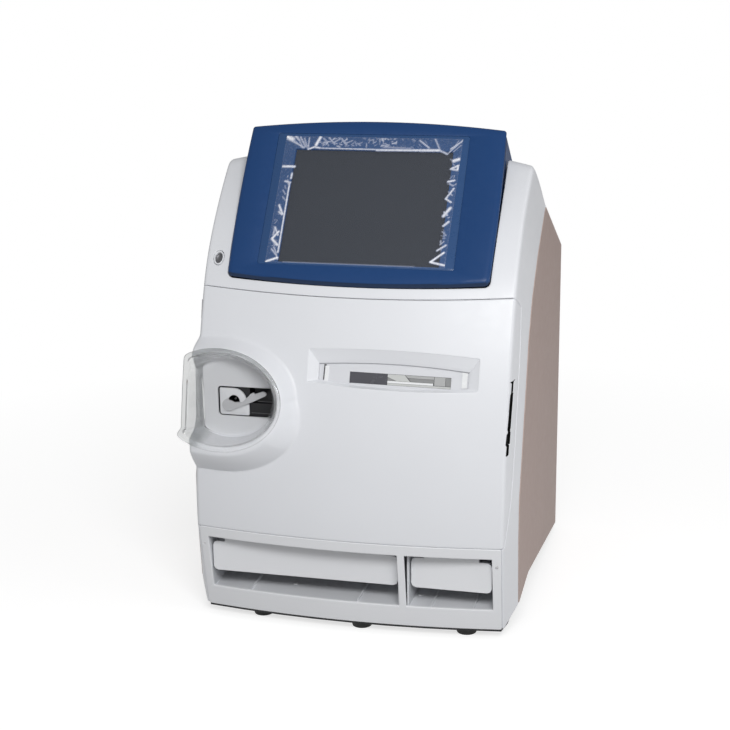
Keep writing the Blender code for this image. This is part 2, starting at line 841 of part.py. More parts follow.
def make_front_frame(look):
    skin = loft([section(z, 0.0, FRONT_SEGMENTS, False) for z in front_heights()])
    shell = piece("front_frame", skin, look)
    hollow_heights = [BODY_BOTTOM - OVERRUN] + front_heights()[1:]
    inside = loft([section(z, WALL, FRONT_SEGMENTS, False) for z in hollow_heights])
    hollow = tool("frame_hollow", inside)
    cut(hollow, above_roof("frame_hollow_roof", WALL))
    cut(shell, above_roof("frame_roof"), hollow)
    cut(shell, behind_cheeks("frame_back", FIT))
    cut(shell, door_region("frame_door", HINGE_SEAM, SEAM, SEAM))
    cut(shell, bay_region("frame_bay", -BAY_EDGE))
    cut(shell, below_cheek("frame_left_edge", -1), below_cheek("frame_right_edge", 1))
    slot = bezel_outline(-SEAM)
    cut(shell, tool("frame_screen", screen_prism(slot, -HOUSING_LENGTH, OVERRUN)))
    button = [(x, z) for x, _, z in ellipse(
        (0.0, 0.0), BUTTON_RING_HALF_WIDTH + FIT, BUTTON_RING_HALF_HEIGHT + FIT, 0.0, 20)]
    hole = prism(button, -BUTTON_RING_DEPTH - OVERRUN, OVERRUN, axes=(0, 1, 2))
    cut(shell, tool("frame_button", place(hole, BUTTON_FRAME)))
    for label, height in (("high", HINGE_HIGH_Z), ("low", HINGE_LOW_Z)):
        cut(shell, tool("frame_hinge_" + label, hinge_rod(height, KNUCKLE_LENGTH * 2 + FIT * 3,
                                                          KNUCKLE_RADIUS + FIT)))
    return shell


def button_lean():
    return math.atan(ridge_slope(BUTTON_Z))


BUTTON_LEAN = button_lean()
BUTTON_FRAME = Matrix((
    (1.0, 0.0, 0.0, BUTTON_X),
    (0.0, math.sin(BUTTON_LEAN), -math.cos(BUTTON_LEAN), front_y(BUTTON_X, BUTTON_Z)),
    (0.0, math.cos(BUTTON_LEAN), math.sin(BUTTON_LEAN), BUTTON_Z),
    (0.0, 0.0, 0.0, 1.0),
))


def axis_point(z):
    """A point on the door's hinge line."""
    return Vector((HINGE_X, side_seam_y(z) + HINGE_SEAM / 2, z))


AXIS_DIRECTION = Vector((0.0, math.sin(DOOR_TILT), math.cos(DOOR_TILT)))


def hinge_rod(z, length, radius, offset=0.0):
    middle = axis_point(z) + AXIS_DIRECTION * offset
    return rod(middle - AXIS_DIRECTION * length / 2, middle + AXIS_DIRECTION * length / 2, radius, 16)


def make_front_door(look, carrier):
    skin = loft([section(z, 0.0, DOOR_SEGMENTS, True) for z in door_heights()])
    door = piece("front_door", skin, look, carrier, False)
    hollow_heights = [SEAM_LOW - OVERRUN] + door_heights()[1:-1] + [SEAM_HIGH + OVERRUN]
    hollow = tool("door_hollow", loft([section(z, WALL, DOOR_SEGMENTS, True) for z in hollow_heights]))
    keep(hollow, door_region("door_hollow_ends", OVERRUN, OVERRUN, -WALL))
    cut(hollow, tool("door_bowl_wall", bowl_loft(WALL, BOWL_BACK_Y + WALL, BOWL_FRONT_Y)))
    cut(hollow, tool("door_window_frame", window_frame_block()))
    cut(door, hollow)
    cut(door, tool("door_bowl", bowl_loft(0.0, BOWL_BACK_Y, BOWL_FRONT_Y - OVERRUN)))
    slot = rounded_rectangle(
        (SLOT_X - SLOT_WIDTH / 2, SLOT_Z - SLOT_HEIGHT / 2),
        (SLOT_X + SLOT_WIDTH / 2, SLOT_Z + SLOT_HEIGHT / 2), SLOT_CORNER, 3)
    cut(door, tool("door_slot", prism(slot, 0.0, OVERRUN + BOWL_BACK_Y, axes=(0, 2, 1))))
    cut(door, tool("door_window", window_funnel()))
    edges = door_region("door_edges", -FIT, 0.0, 0.0)
    for label, height in (("high", HINGE_HIGH_Z), ("low", HINGE_LOW_Z)):
        cut(edges, tool("door_hinge_" + label, hinge_rod(height, KNUCKLE_LENGTH * 2 + FIT * 3,
                                                         KNUCKLE_RADIUS + FIT)))
    cut(edges, tool("door_grip", grip_cutter()))
    return keep(door, edges)


def bowl_loft(grow, back_y, front_end):
    """The bowl of the sample port, wider at its mouth and open to the left."""
    back = ellipse((BOWL_X, BOWL_Z), BOWL_HALF_WIDTH + grow, BOWL_HALF_HEIGHT + grow, back_y)
    rim = ellipse((PORT_X, PORT_Z), PORT_HALF_WIDTH + grow, PORT_HALF_HEIGHT + grow, front_end, 32,
                  BOWL_MOUTH_LEFT + grow)
    mouth = [(x, rim_y(x, z), z) for x, _, z in rim]
    return loft([back, mouth, rim])


WINDOW_AXES = (Matrix.Translation((WINDOW_X, WINDOW_Y, WINDOW_Z)) @ Matrix.Rotation(WINDOW_YAW, 4, "Z")
               @ Matrix.Rotation(WINDOW_ROLL, 4, "Y") @ Matrix.Rotation(-WINDOW_LEAN, 4, "X"))


def barrel(half_width, low, high, bow, y, count=8):
    """A lens-shaped loop in the window's frame: its long edges bow outwards."""
    points = []
    for i in range(count + 1):
        share = 2 * i / count - 1
        points.append((half_width * share, y, low - bow * (1 - share * share)))
    for i in range(count + 1):
        share = 1 - 2 * i / count
        points.append((half_width * share, y, high + bow * (1 - share * share)))
    return [WINDOW_AXES @ Vector(point) for point in points]


def window_funnel():
    """The window's opening: a surround that slopes in from the door's face, then a straight hole."""
    half = WINDOW_WIDTH / 2
    low = -WINDOW_HEIGHT / 2
    high = WINDOW_HEIGHT / 2
    edge = barrel(half + WINDOW_FLARE_SIDE, low - WINDOW_FLARE_LOW, high + WINDOW_FLARE_TOP, WINDOW_BOW, 0.0)
    edge = [Vector((point.x, front_y(point.x, point.z), point.z)) for point in edge]
    throat = barrel(half, low, high, WINDOW_BOW, WINDOW_DEPTH)
    mouth = [point + (point - inner) for point, inner in zip(edge, throat)]
    back = barrel(half, low, high, WINDOW_BOW, WINDOW_DEPTH + OVERRUN)
    return loft([mouth, edge, throat, back])


def window_frame_block():
    half = WINDOW_WIDTH / 2 + WINDOW_FLARE_SIDE + WINDOW_FRAME / 2
    low = -WINDOW_HEIGHT / 2 - WINDOW_FLARE_LOW - WINDOW_FRAME
    high = WINDOW_HEIGHT / 2 + WINDOW_FLARE_TOP + WINDOW_FRAME
    block = box((-half, -OVERRUN, low), (half, WINDOW_DEPTH + WALL, high))
    return place(block, WINDOW_AXES)


def grip_y(z):
    share = (z - GRIP_LOW_Z) / (GRIP_HIGH_Z - GRIP_LOW_Z)
    return ridge_y(z) + GRIP_SETBACK_LOW + (GRIP_SETBACK_HIGH - GRIP_SETBACK_LOW) * share


def grip_cutter():
    """The narrow finger slot just behind the right ridge."""
    low = GRIP_LOW_Z
    high = GRIP_HIGH_Z
    half = GRIP_WIDTH / 2
    outline = [
        (grip_y(low) - half, low), (grip_y(low) + half, low),
        (grip_y(high) + half, high), (grip_y(high) - half, high),
    ]
    inner = ridge_half(low) - WALL * 2
    return prism(outline, inner, BODY_WIDTH / 2 + OVERRUN)


def guard_mouth(grow, lift):
    """A loop over the raised ring: straight on the left, with a flare at the lower corner."""
    points = []
    for x, _, z in ellipse((PORT_X, PORT_Z), PORT_HALF_WIDTH + grow, PORT_HALF_HEIGHT + grow, 0.0, 40):
        low = min(1.0, max(0.0, (GUARD_FLARE_Z - z) / GUARD_FLARE_HEIGHT))
        x = max(x, GUARD_LEFT_X - grow - GUARD_FLARE * low)
        points.append((x, rim_y(x, z) - lift, z))
    return points


def guard_back(shrink):
    points = ellipse((BOWL_X, BOWL_Z), BOWL_HALF_WIDTH - shrink, BOWL_HALF_HEIGHT - shrink,
                     GUARD_BACK_Y, 40)
    return [(max(x, GUARD_BACK_LEFT_X + shrink), y, z) for x, y, z in points]


def make_port_guard(look, carrier):
    """A clear D-shaped funnel that lines the bowl, with a lip over the raised ring."""
    rings = [
        guard_mouth(GUARD_LIP, GUARD_GAP),
        guard_mouth(GUARD_LIP, GUARD_GAP + GUARD_WALL),
        guard_mouth(-GUARD_GAP - GUARD_WALL, GUARD_GAP + GUARD_WALL),
        guard_back(GUARD_GAP + GUARD_WALL),
        guard_back(GUARD_GAP),
        guard_mouth(-GUARD_GAP, GUARD_GAP),
    ]
    return piece("port_guard", loft(rings, closed_ends=False), look, carrier)


def make_window(plate_look, lens_look, carrier):
    half = WINDOW_WIDTH / 2 + WINDOW_FLARE_SIDE / 2
    low = -WINDOW_HEIGHT / 2 - WINDOW_BOW - WINDOW_FRAME / 2
    high = WINDOW_HEIGHT / 2 + WINDOW_BOW + WINDOW_FRAME / 2
    front = WINDOW_DEPTH + WALL + FIT
    plate = piece("window_plate", place(box((-half, front, low), (half, front + WINDOW_PLATE, high)),
                                        WINDOW_AXES), plate_look, carrier)
    slot_low = -WINDOW_SLOT_DROP - WINDOW_SLOT_HEIGHT / 2
    slot_high = -WINDOW_SLOT_DROP + WINDOW_SLOT_HEIGHT / 2
    hole = box((-WINDOW_SLOT_LEFT, front - OVERRUN / 2, slot_low),
               (WINDOW_SLOT_RIGHT, front + OVERRUN / 2, slot_high))
    cut(plate, tool("window_slot", place(hole, WINDOW_AXES)))
    back = front + WINDOW_PLATE + FIT
    lens = box((-WINDOW_SLOT_LEFT - WALL, back, slot_low - WALL),
               (WINDOW_SLOT_RIGHT + WALL, back + WINDOW_PLATE, slot_high + WALL))
    piece("window_lens", place(lens, WINDOW_AXES), lens_look, carrier)


def latch_ends():
    """The two ends of the rod that the latch turns on."""
    middle = (GRIP_LOW_Z + GRIP_HIGH_Z) / 2
    spine = ridge_half(middle) - LATCH_DEPTH + LATCH_BOSS
    low = middle - LATCH_LENGTH / 2
    high = middle + LATCH_LENGTH / 2
    return (Vector((spine, grip_y(low), low - LATCH_BOSS)),
            Vector((spine, grip_y(high), high + LATCH_BOSS)))


def make_latch(look, carrier):
    """A slim dark paddle that fills most of the finger slot."""
    middle = (GRIP_LOW_Z + GRIP_HIGH_Z) / 2
    low = middle - LATCH_LENGTH / 2
    high = middle + LATCH_LENGTH / 2
    half = LATCH_THICKNESS / 2
    outline = [
        (grip_y(low) - half, low), (grip_y(low) + half, low),
        (grip_y(high) + half, high), (grip_y(high) - half, high),
    ]
    outer = ridge_half(middle)
    paddle = piece("door_latch", prism(outline, outer - LATCH_DEPTH, outer - WALL * 0.3), look, carrier)
    return join(paddle, tool("latch_spine", rod(*latch_ends(), LATCH_BOSS, 12)))


def make_door_hinges(look, carrier):
    """Lift-off hinges: the frame's half carries the pin and the door's half drops over it."""
    for label, height in (("top", HINGE_HIGH_Z), ("bottom", HINGE_LOW_Z)):
        lower = (KNUCKLE_LENGTH + FIT) / 2
        pin = tool("hinge_pin_" + label, hinge_rod(height, KNUCKLE_LENGTH * 2, HINGE_PIN_RADIUS))
        bore = tool("hinge_bore_" + label,
                    hinge_rod(height, KNUCKLE_LENGTH * 3, HINGE_PIN_RADIUS + FIT))
        for side, offset, owner in (("frame", -lower, None), ("door", lower, carrier)):
            middle = axis_point(height) + AXIS_DIRECTION * offset
            bm = rod(middle - AXIS_DIRECTION * KNUCKLE_LENGTH / 2,
                     middle + AXIS_DIRECTION * KNUCKLE_LENGTH / 2, KNUCKLE_RADIUS, 16)
            half = piece(side + "_hinge_" + label, bm, look, owner)
            reach = LEAF_REACH if side == "frame" else -LEAF_REACH
            near = HINGE_X + cheek_inner_x(middle.y, middle.z) - FIT * 2
            far = HINGE_X + cheek_inner_x(middle.y + reach, middle.z) - FIT * 2
            outline = [(0.0, -LEAF_NECK / 2), (-near, -LEAF_NECK / 2), (-far, reach),
                       (-far + LEAF_THICKNESS, reach), (-near + LEAF_THICKNESS, LEAF_NECK / 2),
                       (0.0, LEAF_NECK / 2)]
            if side == "frame":
                outline = [(0.0, LEAF_NECK / 2), (-near, LEAF_NECK / 2), (-far, reach),
                           (-far + LEAF_THICKNESS, reach), (-near + LEAF_THICKNESS, -LEAF_NECK / 2),
                           (0.0, -LEAF_NECK / 2)]
            strip = prism(outline, -KNUCKLE_LENGTH * 0.45, KNUCKLE_LENGTH * 0.45, axes=(0, 1, 2))
            turn = Matrix.Translation(middle) @ Matrix.Rotation(-DOOR_TILT, 4, "X")
            join(half, tool(side + "_leaf_" + label, place(strip, turn)))
            if side == "frame":
                join(half, pin)
            else:
                cut(half, bore)


# Bays

def make_bay_frame(look):
    heights = levels(BODY_BOTTOM, SEAM_LOW - SEAM, 4)
    frame = piece("bay_frame", loft([section(z, 0.0, FRONT_SEGMENTS, False) for z in heights]), look)
    hollow_heights = [BODY_BOTTOM - OVERRUN] + heights[1:-1] + [SEAM_LOW + OVERRUN]
    cut(frame, tool("bay_hollow", loft([section(z, WALL, FRONT_SEGMENTS, False) for z in hollow_heights])))
    low = BODY_BOTTOM - OVERRUN
    high = SEAM_LOW + OVERRUN
    inset = BAY_EDGE + SEAM
    outline = [
        (-ridge_half(low) + inset, low), (ridge_half(low) - inset, low),
        (ridge_half(high) - inset, high), (-ridge_half(high) + inset, high),
    ]
    keep(frame, tool("bay_edges", prism(outline, -OVERRUN, BAY_FRAME_BACK, axes=(0, 2, 1))))
    for label, left, right in (("left", BAY_LEFT_X, BAY_DIVIDER_LEFT_X),
                               ("right", BAY_DIVIDER_RIGHT_X, BAY_RIGHT_X)):
        hole = box((left, -OVERRUN, BAY_LOW_Z), (right, OVERRUN, BAY_HIGH_Z))
        cut(frame, tool("bay_hole_" + label, hole))
    return frame


def make_bay_tray(side, left, right, rib_shares, look):
    """An open tub behind one opening, with ribs on its floor and holes for the flap's pin."""
    low = TRAY_FLOOR_Z - TRAY_WALL
    outer = box((left - TRAY_WALL, TRAY_FRONT_Y, low), (right + TRAY_WALL, TRAY_DEPTH_Y, TRAY_TOP_Z))
    tray = piece("bay_tray_" + side, outer, look)
    inner = box((left, TRAY_FRONT_Y - OVERRUN, TRAY_FLOOR_Z),
                (right, TRAY_DEPTH_Y - TRAY_WALL, TRAY_TOP_Z + OVERRUN))
    cut(tray, tool("tray_inside_" + side, inner))
    for i, share in enumerate(rib_shares):
        x = left + (right - left) * share
        rib = box((x, TRAY_FRONT_Y + TRAY_WALL, TRAY_FLOOR_Z - TRAY_WALL / 2),
                  (x + RIB_WIDTH, TRAY_DEPTH_Y - TRAY_WALL / 2, TRAY_FLOOR_Z + RIB_HEIGHT))
        join(tray, tool("tray_rib_" + side + str(i), rib))
    cut(tray, tool("tray_front_" + side, section_front_clearance()))
    bore = rod((left - OVERRUN / 2, FLAP_Y, FLAP_AXIS_Z), (right + OVERRUN / 2, FLAP_Y, FLAP_AXIS_Z),
               FLAP_PIN_RADIUS + FIT, 12)
    cut(tray, tool("tray_bore_" + side, bore))
    return tray


def section_front_clearance():
    """What the bay frame's wall takes, with a clearance: the trays stop short of it."""
    heights = levels(BODY_BOTTOM - OVERRUN, SEAM_LOW + OVERRUN, 4)
    rings = []
    for z in heights:
        row = [(x, y + FIT, z) for x, y, _ in section(z, WALL, FRONT_SEGMENTS, False)[:FRONT_SEGMENTS + 1]]
        row.append((row[-1][0], -OVERRUN, z))
        row.append((row[0][0], -OVERRUN, z))
        rings.append(row)
    return loft(rings)


def make_flap(side, left, right, look, pin_look, carrier):
    """A hanging flap with round lower corners, stepped upper corners and a barrel for its pin."""
    a = left + FLAP_SIDE_GAP
    b = right - FLAP_SIDE_GAP
    r = FLAP_CORNER
    low = FLAP_LOW_Z
    shoulder = FLAP_SHOULDER_Z
    outline = [(a + r, low), (b - r, low), (b - r * 0.3, low + r * 0.3), (b, low + r),
               (b, shoulder - r), (b - r * 0.3, shoulder - r * 0.3), (b - r, shoulder),
               (b - NOTCH_WIDTH, shoulder), (b - NOTCH_WIDTH, FLAP_AXIS_Z),
               (a + NOTCH_WIDTH, FLAP_AXIS_Z), (a + NOTCH_WIDTH, shoulder),
               (a + r, shoulder), (a + r * 0.3, shoulder - r * 0.3), (a, shoulder - r),
               (a, low + r), (a + r * 0.3, low + r * 0.3)]
    half = FLAP_THICKNESS / 2
    flap = piece("bay_flap_" + side, prism(outline, FLAP_Y - half, FLAP_Y + half, axes=(0, 2, 1)),
                 look, carrier)
    barrel_end = NOTCH_WIDTH
    barrel_rod = rod((a + barrel_end, FLAP_Y, FLAP_AXIS_Z), (b - barrel_end, FLAP_Y, FLAP_AXIS_Z),
                     FLAP_BARREL_RADIUS, 16)
    join(flap, tool("flap_barrel_" + side, barrel_rod))
    bore = rod((a - OVERRUN, FLAP_Y, FLAP_AXIS_Z), (b + OVERRUN, FLAP_Y, FLAP_AXIS_Z),
               FLAP_PIN_RADIUS + FIT, 12)
    cut(flap, tool("flap_bore_" + side, bore))
    pin = rod((left - TRAY_WALL / 2, FLAP_Y, FLAP_AXIS_Z), (right + TRAY_WALL / 2, FLAP_Y, FLAP_AXIS_Z),
              FLAP_PIN_RADIUS, 12)
    piece("flap_pin_" + side, pin, pin_look)
    return flap


# Base, cover and inner frame

def make_base_plate(look):
    """The black pan under the body: its front edge follows the front, its sides turn up."""
    z = BASE_LOW_Z
    rim = []
    half = ridge_half(BODY_BOTTOM) - BASE_SETBACK
    for i in range(FRONT_SEGMENTS + 1):
        x = half * (2 * i / FRONT_SEGMENTS - 1)
        rim.append((x, front_y(x, BODY_BOTTOM) + BASE_SETBACK))
    side = BASE_WIDTH / 2
    back = BODY_DEPTH - BASE_SETBACK
    start = cheek_edge_y(BODY_BOTTOM)
    rim.extend([(side, start), (side, back), (-side, back), (-side, start)])
    plate = piece("base_plate", prism(rim, z, z + BASE_THICKNESS, axes=(0, 1, 2)), look)
    for label, outer in (("left", -side), ("right", side - BASE_THICKNESS)):
        flange = box((outer, start + FIT, z + BASE_THICKNESS / 2),
                     (outer + BASE_THICKNESS, REAR_PANEL_Y - FIT, BASE_FLANGE_Z))
        join(plate, tool("base_flange_" + label, flange))
    return plate


def foot_places():
    return (
        ("foot_front_left", FOOT_X - FOOT_SPACING, FOOT_FRONT_Y),
        ("foot_front_middle", FOOT_X, FOOT_FRONT_Y - FOOT_TAPER * 3),
        ("foot_front_right", FOOT_X + FOOT_SPACING, FOOT_FRONT_Y),
        ("foot_rear_left", -FOOT_SPACING - FOOT_X, FOOT_REAR_Y),
        ("foot_rear_right", FOOT_X + FOOT_SPACING, FOOT_REAR_Y),
    )


def make_feet(look):
    for name, x, y in foot_places():
        top = BASE_LOW_Z - FIT
        foot = rod((x, y, 0.0), (x, y, top), FOOT_RADIUS - FOOT_TAPER, 24, FOOT_RADIUS)
        piece(name, foot, look)


def cover_profile(inset, open_by):
    """The cover seen from the side, from the cheek line to the back."""
    points = [(y - open_by, z) for z, y in cheek_line()[1:-1]]
    slope = (ROOF_BACK_Z - ROOF_FRONT_Z) / (BODY_DEPTH - ROOF_FRONT_Y)
    start = points[-1][0]
    points[-1] = (start, ROOF_FRONT_Z + slope * (start - ROOF_FRONT_Y) - inset)
    back = BODY_DEPTH + open_by
    points.append((back, ROOF_BACK_Z + slope * open_by - inset))
    if open_by:
        low = BODY_BOTTOM - open_by
        points.append((back, low))
        points.insert(0, (cheek_edge_y(BODY_BOTTOM) - open_by, low))
    else:
        points.append((back, LIFT_BACK_Z))
        points.append((LIFT_PEAK_Y, LIFT_PEAK_Z))
        points.insert(0, (cheek_edge_y(LIFT_FRONT_Z), LIFT_FRONT_Z))
    return points


def make_case_cover(look):
    half = BODY_WIDTH / 2
    cover = piece("case_cover", prism(cover_profile(0.0, 0.0), -half, half), look)
    hollow = prism(cover_profile(SHEET, OVERRUN), -half + SHEET, half - SHEET)
    return cut(cover, tool("cover_hollow", hollow))


def rear_profile():
    side = BODY_WIDTH / 2 - SHEET - FIT
    return side, REAR_PANEL_Y, ROOF_BACK_Z - SHEET - REAR_PANEL_INSET


REAR_PANEL_Y = BODY_DEPTH - REAR_PANEL_INSET - REAR_PANEL_THICKNESS


def make_rear_panel(look):
    side, y, top = rear_profile()
    low = BASE_LOW_Z + BASE_THICKNESS + FIT
    panel = piece("rear_panel", box((-side, y, low), (side, y + REAR_PANEL_THICKNESS, top)), look)
    front = y - OVERRUN / 2
    back = y + OVERRUN / 2
    for i in range(VENT_COUNT):
        z = VENT_Z + (i - (VENT_COUNT - 1) / 2) * VENT_PITCH
        vent = box((VENT_X - VENT_WIDTH / 2, front, z - VENT_HEIGHT / 2),
                   (VENT_X + VENT_WIDTH / 2, back, z + VENT_HEIGHT / 2))
        cut(panel, tool("vent_" + str(i), vent))
    for i in range(3):
        outer = FAN_HOLE_RADIUS - i * (FAN_HOLE_RADIUS - FAN_HUB_RADIUS) / 3
        inner = outer - (FAN_HOLE_RADIUS - FAN_HUB_RADIUS) / 3 + GRILLE_RING
        ring = tool("grille_" + str(i), rod((FAN_X, front, FAN_Z), (FAN_X, back, FAN_Z), outer, 32))
        cut(ring, tool("grille_core_" + str(i), rod((FAN_X, front - FIT, FAN_Z), (FAN_X, back + FIT, FAN_Z),
                                                     inner, 32)))
        for turn in range(2):
            arm = box((-FAN_SIZE, front - FIT, -GRILLE_RING / 2), (FAN_SIZE, back + FIT, GRILLE_RING / 2))
            spin = Matrix.Translation((FAN_X, 0.0, FAN_Z)) @ Matrix.Rotation(
                math.pi / 4 + turn * math.pi / 2, 4, "Y")
            cut(ring, tool("grille_arm_" + str(i) + str(turn), place(arm, spin)))
        cut(panel, ring)
    cut(panel, tool("hole_inlet", box(
        (INLET_X - INLET_WIDTH / 2 - FIT, front, INLET_Z - INLET_HEIGHT / 2 - FIT),
        (INLET_X + INLET_WIDTH / 2 + FIT, back, INLET_Z + INLET_HEIGHT / 2 + FIT))))
    cut(panel, tool("hole_switch", box(
        (SWITCH_X - SWITCH_WIDTH / 2 - FIT, front, INLET_Z - SWITCH_HEIGHT / 2 - FIT),
        (SWITCH_X + SWITCH_WIDTH / 2 + FIT, back, INLET_Z + SWITCH_HEIGHT / 2 + FIT))))
    for i in range(PORT_COUNT):
        x = port_x(i)
        cut(panel, tool("hole_port_" + str(i), box(
            (x - PORT_HOLE_WIDTH / 2, front, PORT_PLATE_Z - PORT_HOLE_HEIGHT / 2),
            (x + PORT_HOLE_WIDTH / 2, back, PORT_PLATE_Z + PORT_HOLE_HEIGHT / 2))))
    return panel


def port_x(index):
    pitch = PORT_PLATE_WIDTH / PORT_COUNT
    return PORT_PLATE_X + (index - (PORT_COUNT - 1) / 2) * pitch


def make_data_ports(look):
    """One connector block behind the panel with a socket for each hole."""
    back = REAR_PANEL_Y - FIT
    block = piece("data_ports", box(
        (PORT_PLATE_X - PORT_PLATE_WIDTH / 2, back - PORT_BODY_DEPTH, PORT_PLATE_Z - PORT_PLATE_HEIGHT / 2),
        (PORT_PLATE_X + PORT_PLATE_WIDTH / 2, back, PORT_PLATE_Z + PORT_PLATE_HEIGHT / 2)), look)
    for i in range(PORT_COUNT):
        x = port_x(i)
        hole = box((x - PORT_HOLE_WIDTH / 2 + PORT_BODY_WALL, back - PORT_BODY_DEPTH + PORT_BODY_WALL,
                    PORT_PLATE_Z - PORT_HOLE_HEIGHT / 2 + PORT_BODY_WALL),
                   (x + PORT_HOLE_WIDTH / 2 - PORT_BODY_WALL, back + PORT_BODY_WALL,
                    PORT_PLATE_Z + PORT_HOLE_HEIGHT / 2 - PORT_BODY_WALL))
        cut(block, tool("socket_" + str(i), hole))
    return block


def make_power_inlet(look):
    y = REAR_PANEL_Y
    out = y + REAR_PANEL_THICKNESS + FIT
    body = piece("power_inlet", box(
        (INLET_X - INLET_WIDTH / 2, y - INLET_DEPTH, INLET_Z - INLET_HEIGHT / 2),
        (INLET_X + INLET_WIDTH / 2, out + INLET_FLANGE_THICKNESS / 2, INLET_Z + INLET_HEIGHT / 2)), look)
    flange = box(
        (INLET_X - INLET_WIDTH / 2 - INLET_FLANGE, out, INLET_Z - INLET_HEIGHT / 2 - INLET_FLANGE),
        (INLET_X + INLET_WIDTH / 2 + INLET_FLANGE, out + INLET_FLANGE_THICKNESS,
         INLET_Z + INLET_HEIGHT / 2 + INLET_FLANGE))
    join(body, tool("inlet_flange", flange))
    well = box(
        (INLET_X - INLET_WIDTH / 2 + INLET_WALL, y - INLET_DEPTH + INLET_WALL * 2,
         INLET_Z - INLET_HEIGHT / 2 + INLET_WALL),
        (INLET_X + INLET_WIDTH / 2 - INLET_WALL, out + OVERRUN, INLET_Z + INLET_HEIGHT / 2 - INLET_WALL))
    cut(body, tool("inlet_well", well))
    for i in (-1, 0, 1):
        x = INLET_X + i * INLET_PIN_PITCH
        z = INLET_Z + (INLET_PIN_WIDTH if i == 0 else -INLET_PIN_WIDTH)
        pin = box((x - INLET_PIN_WIDTH / 2, y - INLET_DEPTH + INLET_WALL, z - INLET_PIN_HEIGHT / 2),
                  (x + INLET_PIN_WIDTH / 2, y - INLET_WALL, z + INLET_PIN_HEIGHT / 2))
        join(body, tool("inlet_pin_" + str(i), pin))
    return body


def make_power_switch(body_look, rocker_look, carrier):
    y = REAR_PANEL_Y
    out = y + REAR_PANEL_THICKNESS + FIT
    low = (SWITCH_X - SWITCH_WIDTH / 2, y - SWITCH_BODY_DEPTH, INLET_Z - SWITCH_HEIGHT / 2)
    high = (SWITCH_X + SWITCH_WIDTH / 2, out + SWITCH_WALL / 2, INLET_Z + SWITCH_HEIGHT / 2)
    body = piece("switch_body", box(low, high), body_look)
    flange = box((low[0] - SWITCH_WALL, out, low[2] - SWITCH_WALL),
                 (high[0] + SWITCH_WALL, out + SWITCH_WALL, high[2] + SWITCH_WALL))
    join(body, tool("switch_flange", flange))
    well = box((low[0] + SWITCH_WALL, y - SWITCH_BODY_DEPTH / 2, low[2] + SWITCH_WALL),
               (high[0] - SWITCH_WALL, out + OVERRUN, high[2] - SWITCH_WALL))
    cut(body, tool("switch_well", well))
    half_x = SWITCH_WIDTH / 2 - SWITCH_WALL - FIT
    half_z = SWITCH_HEIGHT / 2 - SWITCH_WALL - FIT * 4
    face = out + SWITCH_WALL
    root = face - ROCKER_THICKNESS
    outline = [(root + ROCKER_PEAK, -half_z), (face - ROCKER_PEAK / 2, -half_z), (face - ROCKER_PEAK, 0.0),
               (face + ROCKER_PEAK / 2, half_z), (root + ROCKER_PEAK, half_z), (root, 0.0)]
    outline = [(depth, INLET_Z + height) for depth, height in outline]
    piece("power_rocker", prism(outline, SWITCH_X - half_x, SWITCH_X + half_x), rocker_look, carrier)


def make_fan(frame_look, rotor_look, carrier):
    back = REAR_PANEL_Y - FIT
    front = back - FAN_DEPTH
    half = FAN_SIZE / 2
    frame = piece("fan_frame", box((FAN_X - half, front, FAN_Z - half), (FAN_X + half, back, FAN_Z + half)),
                  frame_look)
    bore = rod((FAN_X, front - OVERRUN, FAN_Z), (FAN_X, back + OVERRUN, FAN_Z), FAN_HOLE_RADIUS, 32)
    cut(frame, tool("fan_bore", bore))
    hub_front = front + FAN_DEPTH * 0.25
    strut_depth = FAN_DEPTH * 0.15
    for turn in range(2):
        arm = box((-half + WALL, front, -GRILLE_RING / 2),
                  (half - WALL, front + strut_depth, GRILLE_RING / 2))
        spin = Matrix.Translation((FAN_X, 0.0, FAN_Z)) @ Matrix.Rotation(turn * math.pi / 2, 4, "Y")
        join(frame, tool("fan_strut_" + str(turn), place(arm, spin)))
    seat = rod((FAN_X, front, FAN_Z), (FAN_X, front + strut_depth, FAN_Z), FAN_HUB_RADIUS, 24)
    join(frame, tool("fan_seat", seat))
    hub_back = back - FAN_DEPTH * 0.1
    rotor = piece("fan_rotor", rod((FAN_X, front + strut_depth + FIT, FAN_Z), (FAN_X, hub_back, FAN_Z),
                                   FAN_HUB_RADIUS, 24), rotor_look, carrier)
    reach = FAN_HOLE_RADIUS - FAN_TIP_GAP
    for i in range(FAN_BLADES):
        blade = box((FAN_HUB_RADIUS * 0.8, -FAN_DEPTH * 0.3, -SHEET / 2),
                    (reach * 0.98, FAN_DEPTH * 0.3, SHEET / 2))
        twist = Matrix.Rotation(math.radians(38.0), 4, "X")
        spin = Matrix.Rotation(2 * math.pi * i / FAN_BLADES, 4, "Y")
        middle = Matrix.Translation((FAN_X, (hub_front + hub_back) / 2, FAN_Z))
        join(rotor, tool("fan_blade_" + str(i), place(blade, middle @ spin @ twist)))


